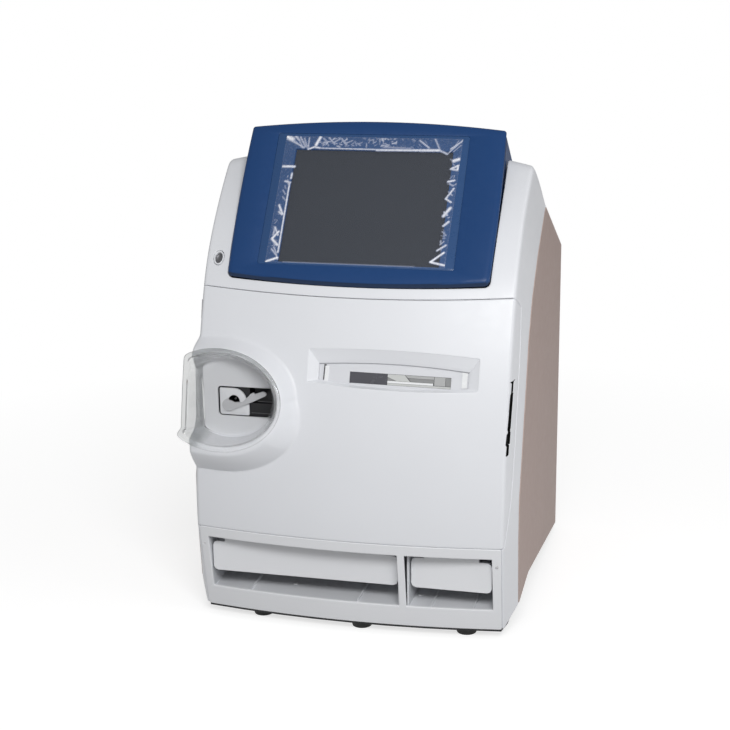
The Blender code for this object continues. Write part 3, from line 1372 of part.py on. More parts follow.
def make_decks(look):
    side = BODY_WIDTH / 2 - SHEET - FIT
    deck = piece("middle_deck", box((-side, DECK_FRONT_Y, DECK_Z),
                                    (side, REAR_PANEL_Y - FIT, DECK_Z + DECK_THICKNESS)), look)
    # The deck's front corners stop inside the cheeks
    heights = (DECK_Z - OVERRUN / 3, DECK_Z + OVERRUN / 3)
    inside = loft([section(z, WALL + FIT, FRONT_SEGMENTS, False)[:-4]
                   + [(side, cheek_edge_y(z) + WALL, z), (side, BODY_DEPTH, z),
                      (-side, BODY_DEPTH, z), (-side, cheek_edge_y(z) + WALL, z)] for z in heights])
    keep(deck, tool("deck_inside", inside))
    wall_side = BODY_WIDTH / 2 - SHEET * 4
    low = DECK_Z + DECK_THICKNESS + FIT
    wall = piece("chassis_wall", box((-wall_side, CHASSIS_Y, low),
                                     (wall_side, CHASSIS_Y + CHASSIS_THICKNESS, CHASSIS_TOP_Z)), look)
    foot = box((-wall_side, CHASSIS_Y, low), (wall_side, CHASSIS_Y + OVERRUN / 2, low + CHASSIS_THICKNESS))
    join(wall, tool("chassis_foot", foot))
    return deck


# Sample port works

def make_port_block(block_look, needle_look, bracket_look):
    back = BLOCK_FRONT_Y + BLOCK_DEPTH
    block = piece("port_block", box((BLOCK_LEFT_X, BLOCK_FRONT_Y, BLOCK_LOW_Z),
                                    (BLOCK_RIGHT_X, back, BLOCK_HIGH_Z)), block_look)
    boss = rod((BOSS_X, BLOCK_FRONT_Y - BOSS_REACH, BOSS_Z), (BOSS_X, BLOCK_FRONT_Y + BOSS_REACH, BOSS_Z),
               BOSS_RADIUS, 28)
    join(block, tool("port_boss", boss))
    hole = rod((BOSS_X, BLOCK_FRONT_Y - OVERRUN, BOSS_Z), (BOSS_X, BLOCK_FRONT_Y + BOSS_HOLE_DEPTH, BOSS_Z),
               BOSS_HOLE_RADIUS, 24)
    cut(block, tool("port_hole", hole))
    bore = rod((BOSS_X, BLOCK_FRONT_Y, BOSS_Z), (BOSS_X, back + OVERRUN, BOSS_Z), PROBE_RADIUS + FIT, 12)
    cut(block, tool("probe_bore", bore))
    pin_hole = rod((LEVER_PIVOT_X, BLOCK_FRONT_Y - OVERRUN, LEVER_PIVOT_Z),
                   (LEVER_PIVOT_X, BLOCK_FRONT_Y + BLOCK_DEPTH / 3, LEVER_PIVOT_Z),
                   LEVER_PIN_RADIUS + FIT, 12)
    cut(block, tool("lever_pin_hole", pin_hole))

    left = BLOCK_RIGHT_X + FIT
    needle = piece("needle_housing", box((left, BLOCK_FRONT_Y, BLOCK_LOW_Z),
                                         (NEEDLE_RIGHT_X, back, NEEDLE_HIGH_Z)), needle_look)
    step = box((left + NEEDLE_STEP, BLOCK_FRONT_Y + NEEDLE_STEP, NEEDLE_HIGH_Z - NEEDLE_STEP / 2),
               (NEEDLE_RIGHT_X, back, BLOCK_HIGH_Z))
    join(needle, tool("needle_step", step))

    low = DECK_Z + DECK_THICKNESS + FIT
    plate_y = back + FIT
    plate = box((BLOCK_LEFT_X, plate_y, low),
                (NEEDLE_RIGHT_X, plate_y + BRACKET_THICKNESS, BLOCK_HIGH_Z))
    bracket = piece("sample_bracket", plate, bracket_look)
    foot = box((BLOCK_LEFT_X, plate_y, low), (NEEDLE_RIGHT_X, plate_y + OVERRUN, low + BRACKET_THICKNESS))
    join(bracket, tool("bracket_foot", foot))
    through = rod((BOSS_X, plate_y - OVERRUN / 3, BOSS_Z), (BOSS_X, plate_y + OVERRUN, BOSS_Z),
                  PROBE_RADIUS + FIT * 2, 12)
    cut(bracket, tool("bracket_bore", through))


def make_probe(look, carrier):
    back = BLOCK_FRONT_Y + BLOCK_DEPTH + BRACKET_THICKNESS + FIT + PROBE_TRAVEL
    tube = piece("sample_probe", rod((BOSS_X, PROBE_TIP_Y, BOSS_Z), (BOSS_X, back + PROBE_COLLAR, BOSS_Z),
                                     PROBE_RADIUS, 12), look, carrier)
    collar = rod((BOSS_X, back + FIT, BOSS_Z), (BOSS_X, back + PROBE_COLLAR, BOSS_Z),
                 PROBE_COLLAR_RADIUS, 16)
    join(tube, tool("probe_collar", collar))


def make_lever(look, pin_look, carrier):
    """A tapered lever with a short second prong; its wide end turns on a pin in the block."""
    start = Vector((LEVER_PIVOT_X, LEVER_PIVOT_Z))
    end = Vector((LEVER_TIP_X, LEVER_TIP_Z))
    along = (end - start).normalized()
    across = Vector((-along.y, along.x))
    outline = []
    for i in range(7):
        angle = math.pi / 2 + math.pi * i / 6
        outline.append(start + (along * math.cos(angle) + across * math.sin(angle)) * LEVER_WIDE_RADIUS)
    for i in range(5):
        angle = -math.pi / 2 + math.pi * i / 4
        outline.append(end + (along * math.cos(angle) + across * math.sin(angle)) * LEVER_TIP_RADIUS)
    prong = start + (end - start) * LEVER_PRONG_SHARE
    outline.append(prong + along * LEVER_TIP_RADIUS * 2 + across * LEVER_TIP_RADIUS)
    outline.append(prong + along * LEVER_TIP_RADIUS + across * LEVER_PRONG_RISE)
    outline.append(prong - along * LEVER_TIP_RADIUS + across * LEVER_PRONG_RISE * 0.9)
    outline.append(prong - along * LEVER_TIP_RADIUS * 2.2 + across * LEVER_TIP_RADIUS * 1.2)
    back = BLOCK_FRONT_Y - BOSS_REACH - FIT
    front = back - LEVER_THICKNESS
    points = [(p.x, p.y) for p in outline]
    lever = piece("sample_lever", prism(points, front, back, axes=(0, 2, 1)), look, carrier)
    bore = rod((LEVER_PIVOT_X, front - OVERRUN, LEVER_PIVOT_Z),
               (LEVER_PIVOT_X, back + OVERRUN, LEVER_PIVOT_Z), LEVER_PIN_RADIUS + FIT, 12)
    cut(lever, tool("lever_bore", bore))
    pin = rod((LEVER_PIVOT_X, front - FIT, LEVER_PIVOT_Z),
              (LEVER_PIVOT_X, BLOCK_FRONT_Y + BLOCK_DEPTH / 4, LEVER_PIVOT_Z), LEVER_PIN_RADIUS, 12)
    piece("lever_pin", pin, pin_look)


# Screen console

def field_rectangle(grow=0.0):
    return rounded_rectangle((-BEZEL_FIELD_LEFT - grow, BEZEL_FIELD_LOW - grow),
                             (BEZEL_FIELD_RIGHT + grow, BEZEL_FIELD_HIGH + grow), GLASS_MARGIN, 2)


def make_screen_bezel(look):
    inset = bezel_outline(BEZEL_CHAMFER_WIDTH)
    full = bezel_outline()
    rings = []
    for outline, depth in ((full, -BEZEL_THICKNESS), (full, -BEZEL_CHAMFER_DEPTH), (inset, 0.0)):
        rings.append([BEZEL_FRAME @ Vector((x, u, depth)) for x, u in outline])
    bezel = piece("screen_bezel", loft(rings), look)
    cut(bezel, tool("bezel_field", screen_prism(field_rectangle(), -BEZEL_FIELD_DEPTH, OVERRUN)))
    half = SCREEN_WIDTH / 2
    opening = screen_box((-half, SCREEN_LOW, -BEZEL_THICKNESS - OVERRUN),
                         (half, SCREEN_LOW + SCREEN_HEIGHT, OVERRUN))
    cut(bezel, tool("bezel_opening", opening))
    grow = BOARD_MARGIN / 2 + FIT
    back = screen_box((-half - grow, SCREEN_LOW - GLASS_MARGIN * 3, -BEZEL_THICKNESS - OVERRUN),
                      (half + grow, SCREEN_LOW + SCREEN_HEIGHT + grow, -SCREEN_SETBACK))
    cut(bezel, tool("bezel_rebate", back))
    return bezel


def make_display(glass_look, panel_look, board_look, film_look):
    half = SCREEN_WIDTH / 2
    low = SCREEN_LOW
    high = SCREEN_LOW + SCREEN_HEIGHT
    top = -SCREEN_SETBACK - FIT
    glass = screen_box((-half - GLASS_MARGIN, low - GLASS_MARGIN, top - GLASS_THICKNESS),
                       (half + GLASS_MARGIN, high + GLASS_MARGIN, top))
    piece("touch_glass", glass, glass_look)
    top -= GLASS_THICKNESS + FIT
    panel = screen_box((-half - PANEL_MARGIN, low - PANEL_MARGIN, top - PANEL_THICKNESS),
                       (half + PANEL_MARGIN, high + PANEL_MARGIN, top))
    piece("display_panel", panel, panel_look)
    top -= PANEL_THICKNESS + FIT
    board = screen_box((-half + BOARD_MARGIN, low + BOARD_MARGIN, top - BOARD_THICKNESS),
                       (half - BOARD_MARGIN, high - BOARD_MARGIN, top))
    board = piece("display_board", board, board_look)
    chip = screen_box((-CHIP_SIZE / 2, low + SCREEN_HEIGHT / 2 - CHIP_SIZE / 2, top - BOARD_THICKNESS * 3),
                      (CHIP_SIZE / 2, low + SCREEN_HEIGHT / 2 + CHIP_SIZE / 2, top - BOARD_THICKNESS / 2))
    join(board, tool("display_chip", chip))
    lift = -BEZEL_FIELD_DEPTH + FIT
    film = screen_box((-FILM_LEFT, FILM_LOW, lift), (FILM_RIGHT, FILM_HIGH, lift + FILM_THICKNESS))
    piece("screen_film", film, film_look)


def housing_profile(inset, open_front):
    """The housing seen from the side: a shallow box behind the screen, then a hood over the roof."""
    front = -BEZEL_THICKNESS - FIT + (OVERRUN if open_front else 0.0)
    low = BEZEL_FIELD_LOW / 4 + inset
    rear = -HOUSING_BOX_DEPTH + inset
    local = [(low, front), (low, rear), (HOUSING_FLOOR_HIGH, rear)]
    points = []
    for u, n in local:
        spot = BEZEL_FRAME @ Vector((0.0, u, n))
        points.append((spot.y, spot.z))
    lift = HOUSING_ROOF_GAP + inset
    points.append((ROOF_FRONT_Y, ROOF_FRONT_Z + lift))
    end = BODY_BACK_CUT - inset
    points.append((end, roof_z(0.0, end) + lift))
    points.append((end, CONSOLE_TOP + CROWN + OVERRUN * 2))
    spot = BEZEL_FRAME @ Vector((0.0, BEZEL_HEIGHT + OVERRUN * 2, front))
    points.append((spot.y, spot.z))
    return points


def make_screen_housing(look):
    half = BEZEL_WIDTH / 2 + OVERRUN
    outline = bezel_outline(HOUSING_INSET)
    length = HOUSING_LENGTH
    housing = piece("screen_housing", screen_prism(outline, -length, -BEZEL_THICKNESS - FIT), look)
    keep(housing, tool("housing_side", prism(housing_profile(0.0, False), -half, half)))
    inner = tool("housing_hollow", screen_prism(bezel_outline(HOUSING_INSET + WALL), -length, OVERRUN))
    keep(inner, tool("housing_hollow_side", prism(housing_profile(WALL, True), -half, half)))
    cut(housing, inner)
    for index, (low, high) in enumerate(lid_ears()):
        join(housing, tool("lid_ear_" + str(index), screen_box(low, high)))
    cut(housing, tool("housing_lid", lid_box(SEAM, LID_BACK_GAP)))
    cut(housing, tool("ear_bore", lid_rod(LID_WIDTH + OVERRUN, LID_PIN_RADIUS + FIT)))
    return housing


def lid_top(x):
    """Height of the housing's top above the screen's lower edge, at one place across."""
    half = BEZEL_WIDTH / 2 - HOUSING_INSET
    return BEZEL_HEIGHT - HOUSING_INSET + BEZEL_BOW_TOP * (1 - (x / half) ** 2)


def lid_axis():
    return lid_top(LID_X) - LID_AXIS_DROP, -LID_BACK + LID_BARREL_RADIUS


def lid_box(side_gap, back_gap):
    half = LID_WIDTH / 2 + side_gap
    low = BEZEL_HEIGHT - LID_AXIS_DROP * 2
    return screen_box((LID_X - half, low, -LID_BACK - back_gap),
                      (LID_X + half, low + OVERRUN, -LID_FRONT + side_gap))


def lid_rod(length, radius):
    u, n = lid_axis()
    a = BEZEL_FRAME @ Vector((LID_X - length / 2, u, n))
    b = BEZEL_FRAME @ Vector((LID_X + length / 2, u, n))
    return rod(a, b, radius, 14)


def lid_ears():
    u, n = lid_axis()
    near = LID_WIDTH / 2 + SEAM
    low = u - LID_EAR
    high = u + LID_AXIS_DROP * 0.6
    return (
        ((LID_X - near - LID_EAR, low, n - LID_EAR), (LID_X - near, high, n + LID_EAR)),
        ((LID_X + near, low, n - LID_EAR), (LID_X + near + LID_EAR, high, n + LID_EAR)),
    )


def make_printer_lid(look, pin_look, carrier):
    outline = bezel_outline(HOUSING_INSET)
    lid = piece("printer_lid", screen_prism(outline, -LID_BACK, -LID_FRONT), look, carrier)
    keep(lid, tool("lid_limit", lid_box(0.0, 0.0)))
    cut(lid, tool("lid_underside", screen_prism(bezel_outline(HOUSING_INSET + WALL),
                                                -LID_BACK - OVERRUN, -LID_FRONT + OVERRUN)))
    join(lid, tool("lid_barrel", lid_rod(LID_WIDTH - SEAM * 2, LID_BARREL_RADIUS)))
    cut(lid, tool("lid_bore", lid_rod(LID_WIDTH + OVERRUN, LID_PIN_RADIUS + FIT)))
    top = lid_top(LID_X)
    tab = screen_box((LID_X - LID_TAB_WIDTH / 2, top - WALL / 2, -LID_FRONT - LID_TAB_LENGTH),
                     (LID_X + LID_TAB_WIDTH / 2, top + LID_TAB_HEIGHT, -LID_FRONT - SHEET))
    join(lid, tool("lid_tab", tab))
    piece("printer_lid_pin", lid_rod(LID_WIDTH + SEAM * 2 + LID_EAR, LID_PIN_RADIUS), pin_look)


def make_printer(body_look, rubber_look, paper_look, platen_carrier, roll_carrier):
    """A tray for the roll that stands on the housing's floor, with cheeks for platen and roll."""
    half = ROLL_WIDTH / 2 + SEAM
    wall = PRINTER_WALL
    floor = ROOF_FRONT_Z + HOUSING_ROOF_GAP + WALL + FIT
    front = PLATEN_Y - PLATEN_RADIUS * 2
    back = ROLL_Y + ROLL_RADIUS + wall
    slope = (ROOF_BACK_Z - ROOF_FRONT_Z) / (BODY_DEPTH - ROOF_FRONT_Y)
    drop = slope * (back - ROOF_FRONT_Y)
    top = ROLL_Z + ROLL_CORE_RADIUS
    outline = [(ROOF_FRONT_Y, floor), (back, floor + drop), (back, top - ROLL_CORE_RADIUS), (ROLL_Y, top),
               (PLATEN_Y, PLATEN_Z + PLATEN_RADIUS), (front, PLATEN_Z), (front, floor)]
    body = piece("printer_body", prism(outline, LID_X - half - wall, LID_X + half + wall), body_look)
    well = box((LID_X - half, ROLL_Y - ROLL_RADIUS - wall, floor + drop + wall),
               (LID_X + half, back + OVERRUN, top + OVERRUN))
    cut(body, tool("printer_well", well))
    gap = box((LID_X - half, front - OVERRUN, PLATEN_Z - PLATEN_RADIUS * 1.6),
              (LID_X + half, back, top + OVERRUN))
    cut(body, tool("printer_gap", gap))
    for label, y, z, radius in (("platen", PLATEN_Y, PLATEN_Z, SHAFT_RADIUS / 2),
                                ("roll", ROLL_Y, ROLL_Z, SHAFT_RADIUS)):
        bore = rod((LID_X - half * 2, y, z), (LID_X + half * 2, y, z), radius + FIT, 12)
        cut(body, tool("printer_bore_" + label, bore))
    platen = piece("platen_roller", rod((LID_X - half + FIT, PLATEN_Y, PLATEN_Z),
                                        (LID_X + half - FIT, PLATEN_Y, PLATEN_Z), PLATEN_RADIUS, 20),
                   rubber_look, platen_carrier)
    shaft = rod((LID_X - half - wall / 2, PLATEN_Y, PLATEN_Z), (LID_X + half + wall / 2, PLATEN_Y, PLATEN_Z),
                SHAFT_RADIUS / 2, 12)
    join(platen, tool("platen_shaft", shaft))
    roll = piece("paper_roll", rod((LID_X - ROLL_WIDTH / 2, ROLL_Y, ROLL_Z),
                                   (LID_X + ROLL_WIDTH / 2, ROLL_Y, ROLL_Z), ROLL_RADIUS, 28),
                 paper_look, roll_carrier)
    core = rod((LID_X - half - wall / 2, ROLL_Y, ROLL_Z), (LID_X + half + wall / 2, ROLL_Y, ROLL_Z),
               SHAFT_RADIUS, 12)
    join(roll, tool("roll_core", core))


def make_button(ring_look, button_look, switch_look, carrier):
    outer = BUTTON_RING_HALF_WIDTH
    tall = BUTTON_RING_HALF_HEIGHT
    band = BUTTON_RING_BAND

    def oval(shrink, count=20):
        return [(x, z) for x, _, z in ellipse((0.0, 0.0), outer - shrink, tall - shrink, 0.0, count)]

    band_shape = prism(oval(0.0), -BUTTON_RING_DEPTH, BUTTON_RING_PROUD, axes=(0, 1, 2))
    ring = piece("button_ring", place(band_shape, BUTTON_FRAME), ring_look)
    hole = place(prism(oval(band), -BUTTON_RING_DEPTH - OVERRUN, OVERRUN, axes=(0, 1, 2)), BUTTON_FRAME)
    cut(ring, tool("ring_hole", hole))
    top = -BUTTON_RECESS
    low = top - BUTTON_LENGTH
    button = place(prism(oval(band + FIT), low, top, axes=(0, 1, 2)), BUTTON_FRAME)
    piece("standby_button", button, button_look, carrier)
    half = BUTTON_SWITCH_SIZE / 2
    under = low - BUTTON_TRAVEL - FIT
    switch = piece("button_switch", place(box((-half * 0.8, -half, under - BUTTON_SWITCH_DEPTH),
                                              (half * 0.8, half, under)), BUTTON_FRAME), switch_look)
    for side in (-1, 1):
        edge = side * (half - WALL / 4)
        post = box((-half * 0.7, edge - WALL / 4, under - SEAM), (half * 0.7, edge + WALL / 4, -WALL * 1.5))
        join(switch, tool("switch_post" + str(side), place(post, BUTTON_FRAME)))


# Modules on the chassis

def make_sensor_block(look):
    back = CHASSIS_Y - FIT
    block = piece("sensor_block", box((SENSOR_LEFT_X, SENSOR_FRONT_Y, SENSOR_LOW_Z),
                                      (SENSOR_RIGHT_X, back, SENSOR_HIGH_Z)), look)
    pitch = (SENSOR_RIGHT_X - SENSOR_LEFT_X) / ELECTRODE_COUNT
    for i in range(ELECTRODE_COUNT):
        x = SENSOR_LEFT_X + pitch * (i + 0.5)
        middle = (SENSOR_LOW_Z + SENSOR_HIGH_Z) / 2
        cap = rod((x, SENSOR_FRONT_Y - ELECTRODE_LENGTH / 2, middle),
                  (x, SENSOR_FRONT_Y + ELECTRODE_LENGTH, middle), ELECTRODE_RADIUS, 14)
        join(block, tool("electrode_" + str(i), cap))
    return block


def make_pump(body_look, rotor_look, carrier):
    back = CHASSIS_Y - FIT
    front = back - PUMP_DEPTH
    half = PUMP_RADIUS
    outline = rounded_rectangle((PUMP_X - half, PUMP_Z - half), (PUMP_X + half, PUMP_Z + half), half / 3, 3)
    body = piece("pump_body", prism(outline, front, back, axes=(0, 2, 1)), body_look)
    floor = back - PUMP_WALL
    well = rod((PUMP_X, front - OVERRUN, PUMP_Z), (PUMP_X, floor, PUMP_Z), PUMP_RADIUS - PUMP_WALL, 32)
    cut(body, tool("pump_well", well))
    cut(body, tool("pump_bore", rod((PUMP_X, front, PUMP_Z), (PUMP_X, back + OVERRUN, PUMP_Z),
                                    SHAFT_RADIUS + FIT, 14)))
    start = floor - FIT * 2
    rotor = piece("pump_rotor", rod((PUMP_X, start - ROTOR_THICKNESS, PUMP_Z), (PUMP_X, start, PUMP_Z),
                                    ROTOR_RADIUS * 0.75, 24), rotor_look, carrier)
    for i in range(ROTOR_ROLLERS):
        angle = 2 * math.pi * i / ROTOR_ROLLERS
        reach = ROTOR_RADIUS - ROTOR_ROLLER_RADIUS / 2
        x = PUMP_X + reach * math.cos(angle)
        z = PUMP_Z + reach * math.sin(angle)
        roller = rod((x, start - ROTOR_THICKNESS * 0.9, z), (x, start - ROTOR_THICKNESS * 0.1, z),
                     ROTOR_ROLLER_RADIUS, 14)
        join(rotor, tool("pump_roller_" + str(i), roller))
    shaft = rod((PUMP_X, start - FIT, PUMP_Z), (PUMP_X, back - FIT, PUMP_Z), SHAFT_RADIUS, 14)
    join(rotor, tool("pump_shaft", shaft))


def make_valves(look):
    back = CHASSIS_Y - FIT
    front = back - VALVE_DEPTH
    body = box((VALVE_LEFT_X, front, VALVE_LOW_Z), (VALVE_RIGHT_X, back, VALVE_HIGH_Z))
    block = piece("valve_manifold", body, look)
    pitch = (VALVE_RIGHT_X - VALVE_LEFT_X) / SOLENOID_COUNT
    for i in range(SOLENOID_COUNT):
        x = VALVE_LEFT_X + pitch * (i + 0.5)
        y = (front + back) / 2
        coil = rod((x, y, VALVE_HIGH_Z - FIT), (x, y, VALVE_HIGH_Z + SOLENOID_LENGTH), SOLENOID_RADIUS, 14)
        join(block, tool("solenoid_" + str(i), coil))
    return block


def make_electronics(board_look, supply_look):
    y = CHASSIS_Y + CHASSIS_THICKNESS + BOARD_STANDOFF
    half = MAIN_BOARD_WIDTH / 2
    board = piece("main_board", box((-half, y, MAIN_BOARD_LOW_Z),
                                    (half, y + BOARD_THICKNESS, MAIN_BOARD_LOW_Z + MAIN_BOARD_HEIGHT)),
                  board_look)
    for i, (sx, sz) in enumerate(((-1, 0), (1, 0), (-1, 1), (1, 1))):
        x = sx * (half - BOARD_STANDOFF)
        z = MAIN_BOARD_LOW_Z + BOARD_STANDOFF + sz * (MAIN_BOARD_HEIGHT - 2 * BOARD_STANDOFF)
        post = rod((x, CHASSIS_Y + CHASSIS_THICKNESS + FIT, z), (x, y + BOARD_THICKNESS / 2, z),
                   SHAFT_RADIUS, 10)
        join(board, tool("board_post_" + str(i), post))
    for i, share in enumerate((0.25, 0.55, 0.8)):
        x = -half + MAIN_BOARD_WIDTH * share
        z = MAIN_BOARD_LOW_Z + MAIN_BOARD_HEIGHT / 2
        chip = box((x - CHIP_SIZE / 2, y + BOARD_THICKNESS / 2, z - CHIP_SIZE / 2),
                   (x + CHIP_SIZE / 2, y + BOARD_THICKNESS * 3, z + CHIP_SIZE / 2))
        join(board, tool("board_chip_" + str(i), chip))
    low = DECK_Z + DECK_THICKNESS + FIT
    back = REAR_PANEL_Y - FIT * 4
    piece("power_supply", box((SUPPLY_X - SUPPLY_WIDTH / 2, back - SUPPLY_DEPTH, low),
                              (SUPPLY_X + SUPPLY_WIDTH / 2, back, low + SUPPLY_HEIGHT)), supply_look)


def build():
    clear_scene()
    lip = guard_mouth(GUARD_LIP, GUARD_GAP + GUARD_WALL)
    box_left = min(-BODY_WIDTH / 2, min(point[0] for point in lip))
    box_right = BODY_WIDTH / 2
    box_front = min(point[1] for point in lip)
    reach_back = max(INLET_FLANGE_THICKNESS, SWITCH_WALL + ROCKER_PEAK / 2)
    box_back = REAR_PANEL_Y + REAR_PANEL_THICKNESS + FIT + reach_back
    pivot("analyzer_frame", (-(box_left + box_right) / 2, -(box_front + box_back) / 2, 0.0))
    door = pivot("front_door_axis", axis_point(HINGE_HIGH_Z), -DOOR_TILT)
    latch = pivot("door_latch_axis", (latch_ends()[0] + latch_ends()[1]) / 2)
    lever = pivot("sample_lever_axis", (LEVER_PIVOT_X, BLOCK_FRONT_Y, LEVER_PIVOT_Z))
    probe = pivot("sample_probe_axis", (BOSS_X, PROBE_TIP_Y, BOSS_Z))
    flap_left = pivot("bay_flap_left_axis", ((BAY_LEFT_X + BAY_DIVIDER_LEFT_X) / 2, FLAP_Y, FLAP_AXIS_Z))
    flap_right = pivot("bay_flap_right_axis", ((BAY_DIVIDER_RIGHT_X + BAY_RIGHT_X) / 2, FLAP_Y, FLAP_AXIS_Z))
    lid_u, lid_n = lid_axis()
    lid = pivot("printer_lid_axis", BEZEL_FRAME @ Vector((LID_X, lid_u, lid_n)))
    platen = pivot("platen_roller_axis", (LID_X, PLATEN_Y, PLATEN_Z))
    roll = pivot("paper_roll_axis", (LID_X, ROLL_Y, ROLL_Z))
    button = pivot("standby_button_axis", BUTTON_FRAME.translation)
    rotor = pivot("pump_rotor_axis", (PUMP_X, CHASSIS_Y - PUMP_DEPTH, PUMP_Z))
    fan = pivot("fan_rotor_axis", (FAN_X, REAR_PANEL_Y - FAN_DEPTH / 2, FAN_Z))
    rocker_y = REAR_PANEL_Y + REAR_PANEL_THICKNESS + FIT + SWITCH_WALL - ROCKER_THICKNESS / 2
    rocker = pivot("power_rocker_axis", (SWITCH_X, rocker_y, INLET_Z))
    bpy.context.view_layer.update()

    white = material("white_plastic", (0.74, 0.76, 0.80), 0.45)
    light = material("light_grey_plastic", (0.62, 0.63, 0.64), 0.4)
    blue = material("blue_plastic", (0.02, 0.06, 0.22), 0.45)
    grey = material("grey_painted_metal", (0.30, 0.27, 0.25), 0.5)
    black = material("black_plastic", (0.02, 0.02, 0.022), 0.45)
    rubber = material("black_rubber", (0.015, 0.015, 0.015), 0.85)
    steel = material("steel", (0.55, 0.56, 0.57), 0.3, 1.0)
    zinc = material("zinc_plated_steel", (0.60, 0.61, 0.62), 0.4, 1.0)
    aluminium = material("aluminium", (0.70, 0.71, 0.72), 0.35, 1.0)
    clear = material("clear_plastic", (0.90, 0.92, 0.92), 0.1, 0.0, 0.35)
    glass = material("screen_glass", (0.055, 0.062, 0.070), 0.25)
    film = material("clear_film", (0.60, 0.65, 0.75), 0.15, 0.0, 0.25)
    board = material("circuit_board", (0.02, 0.18, 0.08), 0.5)
    paper = material("paper", (0.85, 0.85, 0.83), 0.8)

    make_front_frame(white)
    make_front_door(white, door)
    make_port_guard(clear, door)
    make_window(white, glass, door)
    make_latch(black, latch)
    make_door_hinges(zinc, door)
    make_bay_frame(white)
    make_bay_tray("left", BAY_LEFT_X, BAY_DIVIDER_LEFT_X - TRAY_WALL, RIB_LEFT_SHARES, light)
    make_bay_tray("right", BAY_DIVIDER_RIGHT_X + TRAY_WALL, BAY_RIGHT_X, RIB_RIGHT_SHARES, light)
    make_flap("left", BAY_LEFT_X, BAY_DIVIDER_LEFT_X - TRAY_WALL, white, steel, flap_left)
    make_flap("right", BAY_DIVIDER_RIGHT_X + TRAY_WALL, BAY_RIGHT_X, white, steel, flap_right)
    make_base_plate(black)
    make_feet(rubber)
    make_case_cover(grey)
    make_rear_panel(grey)
    make_data_ports(black)
    make_power_inlet(black)
    make_power_switch(black, black, rocker)
    make_fan(black, black, fan)
    make_decks(zinc)
    make_port_block(light, black, zinc)
    make_probe(steel, probe)
    make_lever(light, steel, lever)
    make_screen_bezel(blue)
    make_display(glass, black, board, film)
    make_screen_housing(blue)
    make_printer_lid(blue, steel, lid)
    make_printer(black, rubber, paper, platen, roll)
    make_button(light, light, black, button)
    make_sensor_block(aluminium)
    make_pump(black, light, rotor)
    make_valves(light)
    make_electronics(board, zinc)


build()
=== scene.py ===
"""Looks for a benchtop blood gas analyzer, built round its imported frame.

Shapes are worked out in millimetres in the case's own axes (X across, Y back, Z up, the case's
middle at X 0 and its front at Y 0) and moved to the frame's place when a piece is made.
"""
import json
import math
import random

import bmesh
import bpy
from mathutils import Matrix, Vector, noise

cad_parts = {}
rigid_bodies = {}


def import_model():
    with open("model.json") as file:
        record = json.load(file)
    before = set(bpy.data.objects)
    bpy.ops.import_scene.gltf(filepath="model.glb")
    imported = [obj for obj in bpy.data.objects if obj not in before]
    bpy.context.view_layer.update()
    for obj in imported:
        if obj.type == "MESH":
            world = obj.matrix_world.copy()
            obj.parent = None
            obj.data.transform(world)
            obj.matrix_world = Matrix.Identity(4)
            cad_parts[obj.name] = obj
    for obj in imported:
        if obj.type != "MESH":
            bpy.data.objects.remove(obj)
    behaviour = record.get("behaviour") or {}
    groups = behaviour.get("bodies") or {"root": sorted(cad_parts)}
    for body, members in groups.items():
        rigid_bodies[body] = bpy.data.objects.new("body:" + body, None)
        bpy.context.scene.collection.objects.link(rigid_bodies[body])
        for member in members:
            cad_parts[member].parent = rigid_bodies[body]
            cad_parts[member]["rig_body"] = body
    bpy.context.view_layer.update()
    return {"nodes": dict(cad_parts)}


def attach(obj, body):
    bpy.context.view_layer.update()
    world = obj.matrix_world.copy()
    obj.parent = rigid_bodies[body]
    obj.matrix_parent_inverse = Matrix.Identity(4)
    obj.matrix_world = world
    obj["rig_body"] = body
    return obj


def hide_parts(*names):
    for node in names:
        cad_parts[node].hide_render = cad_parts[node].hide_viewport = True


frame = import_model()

nodes = frame["nodes"]

MM = 0.001
CASE_PLACE = Vector((0.000999, -0.165643, 0.0))
TO_FRAME = Matrix.Translation(CASE_PLACE) @ Matrix.Scale(MM, 4)
FROM_FRAME = TO_FRAME.inverted()


# Profiles of the case, in millimetres

CASE_HALF = 177.0
CASE_LOW = 12.0
SEAM_LOW = 110.0
SEAM_HIGH = 361.0
SEAM_BOW = 8.0
SEAM_GAP = 0.6
DOOR_LEAN = 54.0
KINK_DROP = 12.5
CONSOLE_TOP = 479.0
CROWN = 20.0
ROOF_FRONT_Y = 201.0
ROOF_FRONT_Z = 430.0
CHEEK_EDGE = ((0.0, 42.2), (110.1, 32.0), (153.9, 33.0), (230.9, 58.1), (310.0, 84.0),
              (350.0, 105.9), (390.0, 145.9), (430.0, 201.0), (559.0, 219.1))
PORT = (-134.5, 253.3)
PORT_HALF = (66.3, 47.8)
PORT_MOUTH_LEFT = 72.0
PORT_RISE = 22.0
BOWL = (-130.0, 249.7)
BOWL_HALF = (50.5, 44.2)
BOWL_FLOOR_Y = 22.0
SLOT = (-113.0, 244.0)
SLOT_HALF = (31.0, 16.25)
SLOT_CORNER = 4.0
DOOR_SKIN = 2.5
SHELL_SKIN = 2.5
DOOR_HIGH = SEAM_HIGH - SEAM_LOW
DOOR_CURVE = 1.9
RIDGE_HALF, RIDGE_SPREAD = 163.5, 4.5
CHIN_DEPTH = 18.0
CONSOLE_RUN, CONSOLE_DEPTH = 114.0, 98.0
BULGE_LOW, BULGE_MIDDLE, BULGE_HIGH = 13.0, 8.0, 5.0
CROWN_HALF = 168.0
ROOF_KNEE_Y = 163.0
ROOF_BACK_Y = 201.3
PORT_LEFT_STRETCH = 0.35
SKIRT, SKIRT_BELOW = 11.0, 21.0
COVER_GAP = 0.5
FAR_AWAY = 50.0


def ridge_half(z):
    return RIDGE_HALF + RIDGE_SPREAD * (z - CASE_LOW) / (CONSOLE_TOP - CASE_LOW)


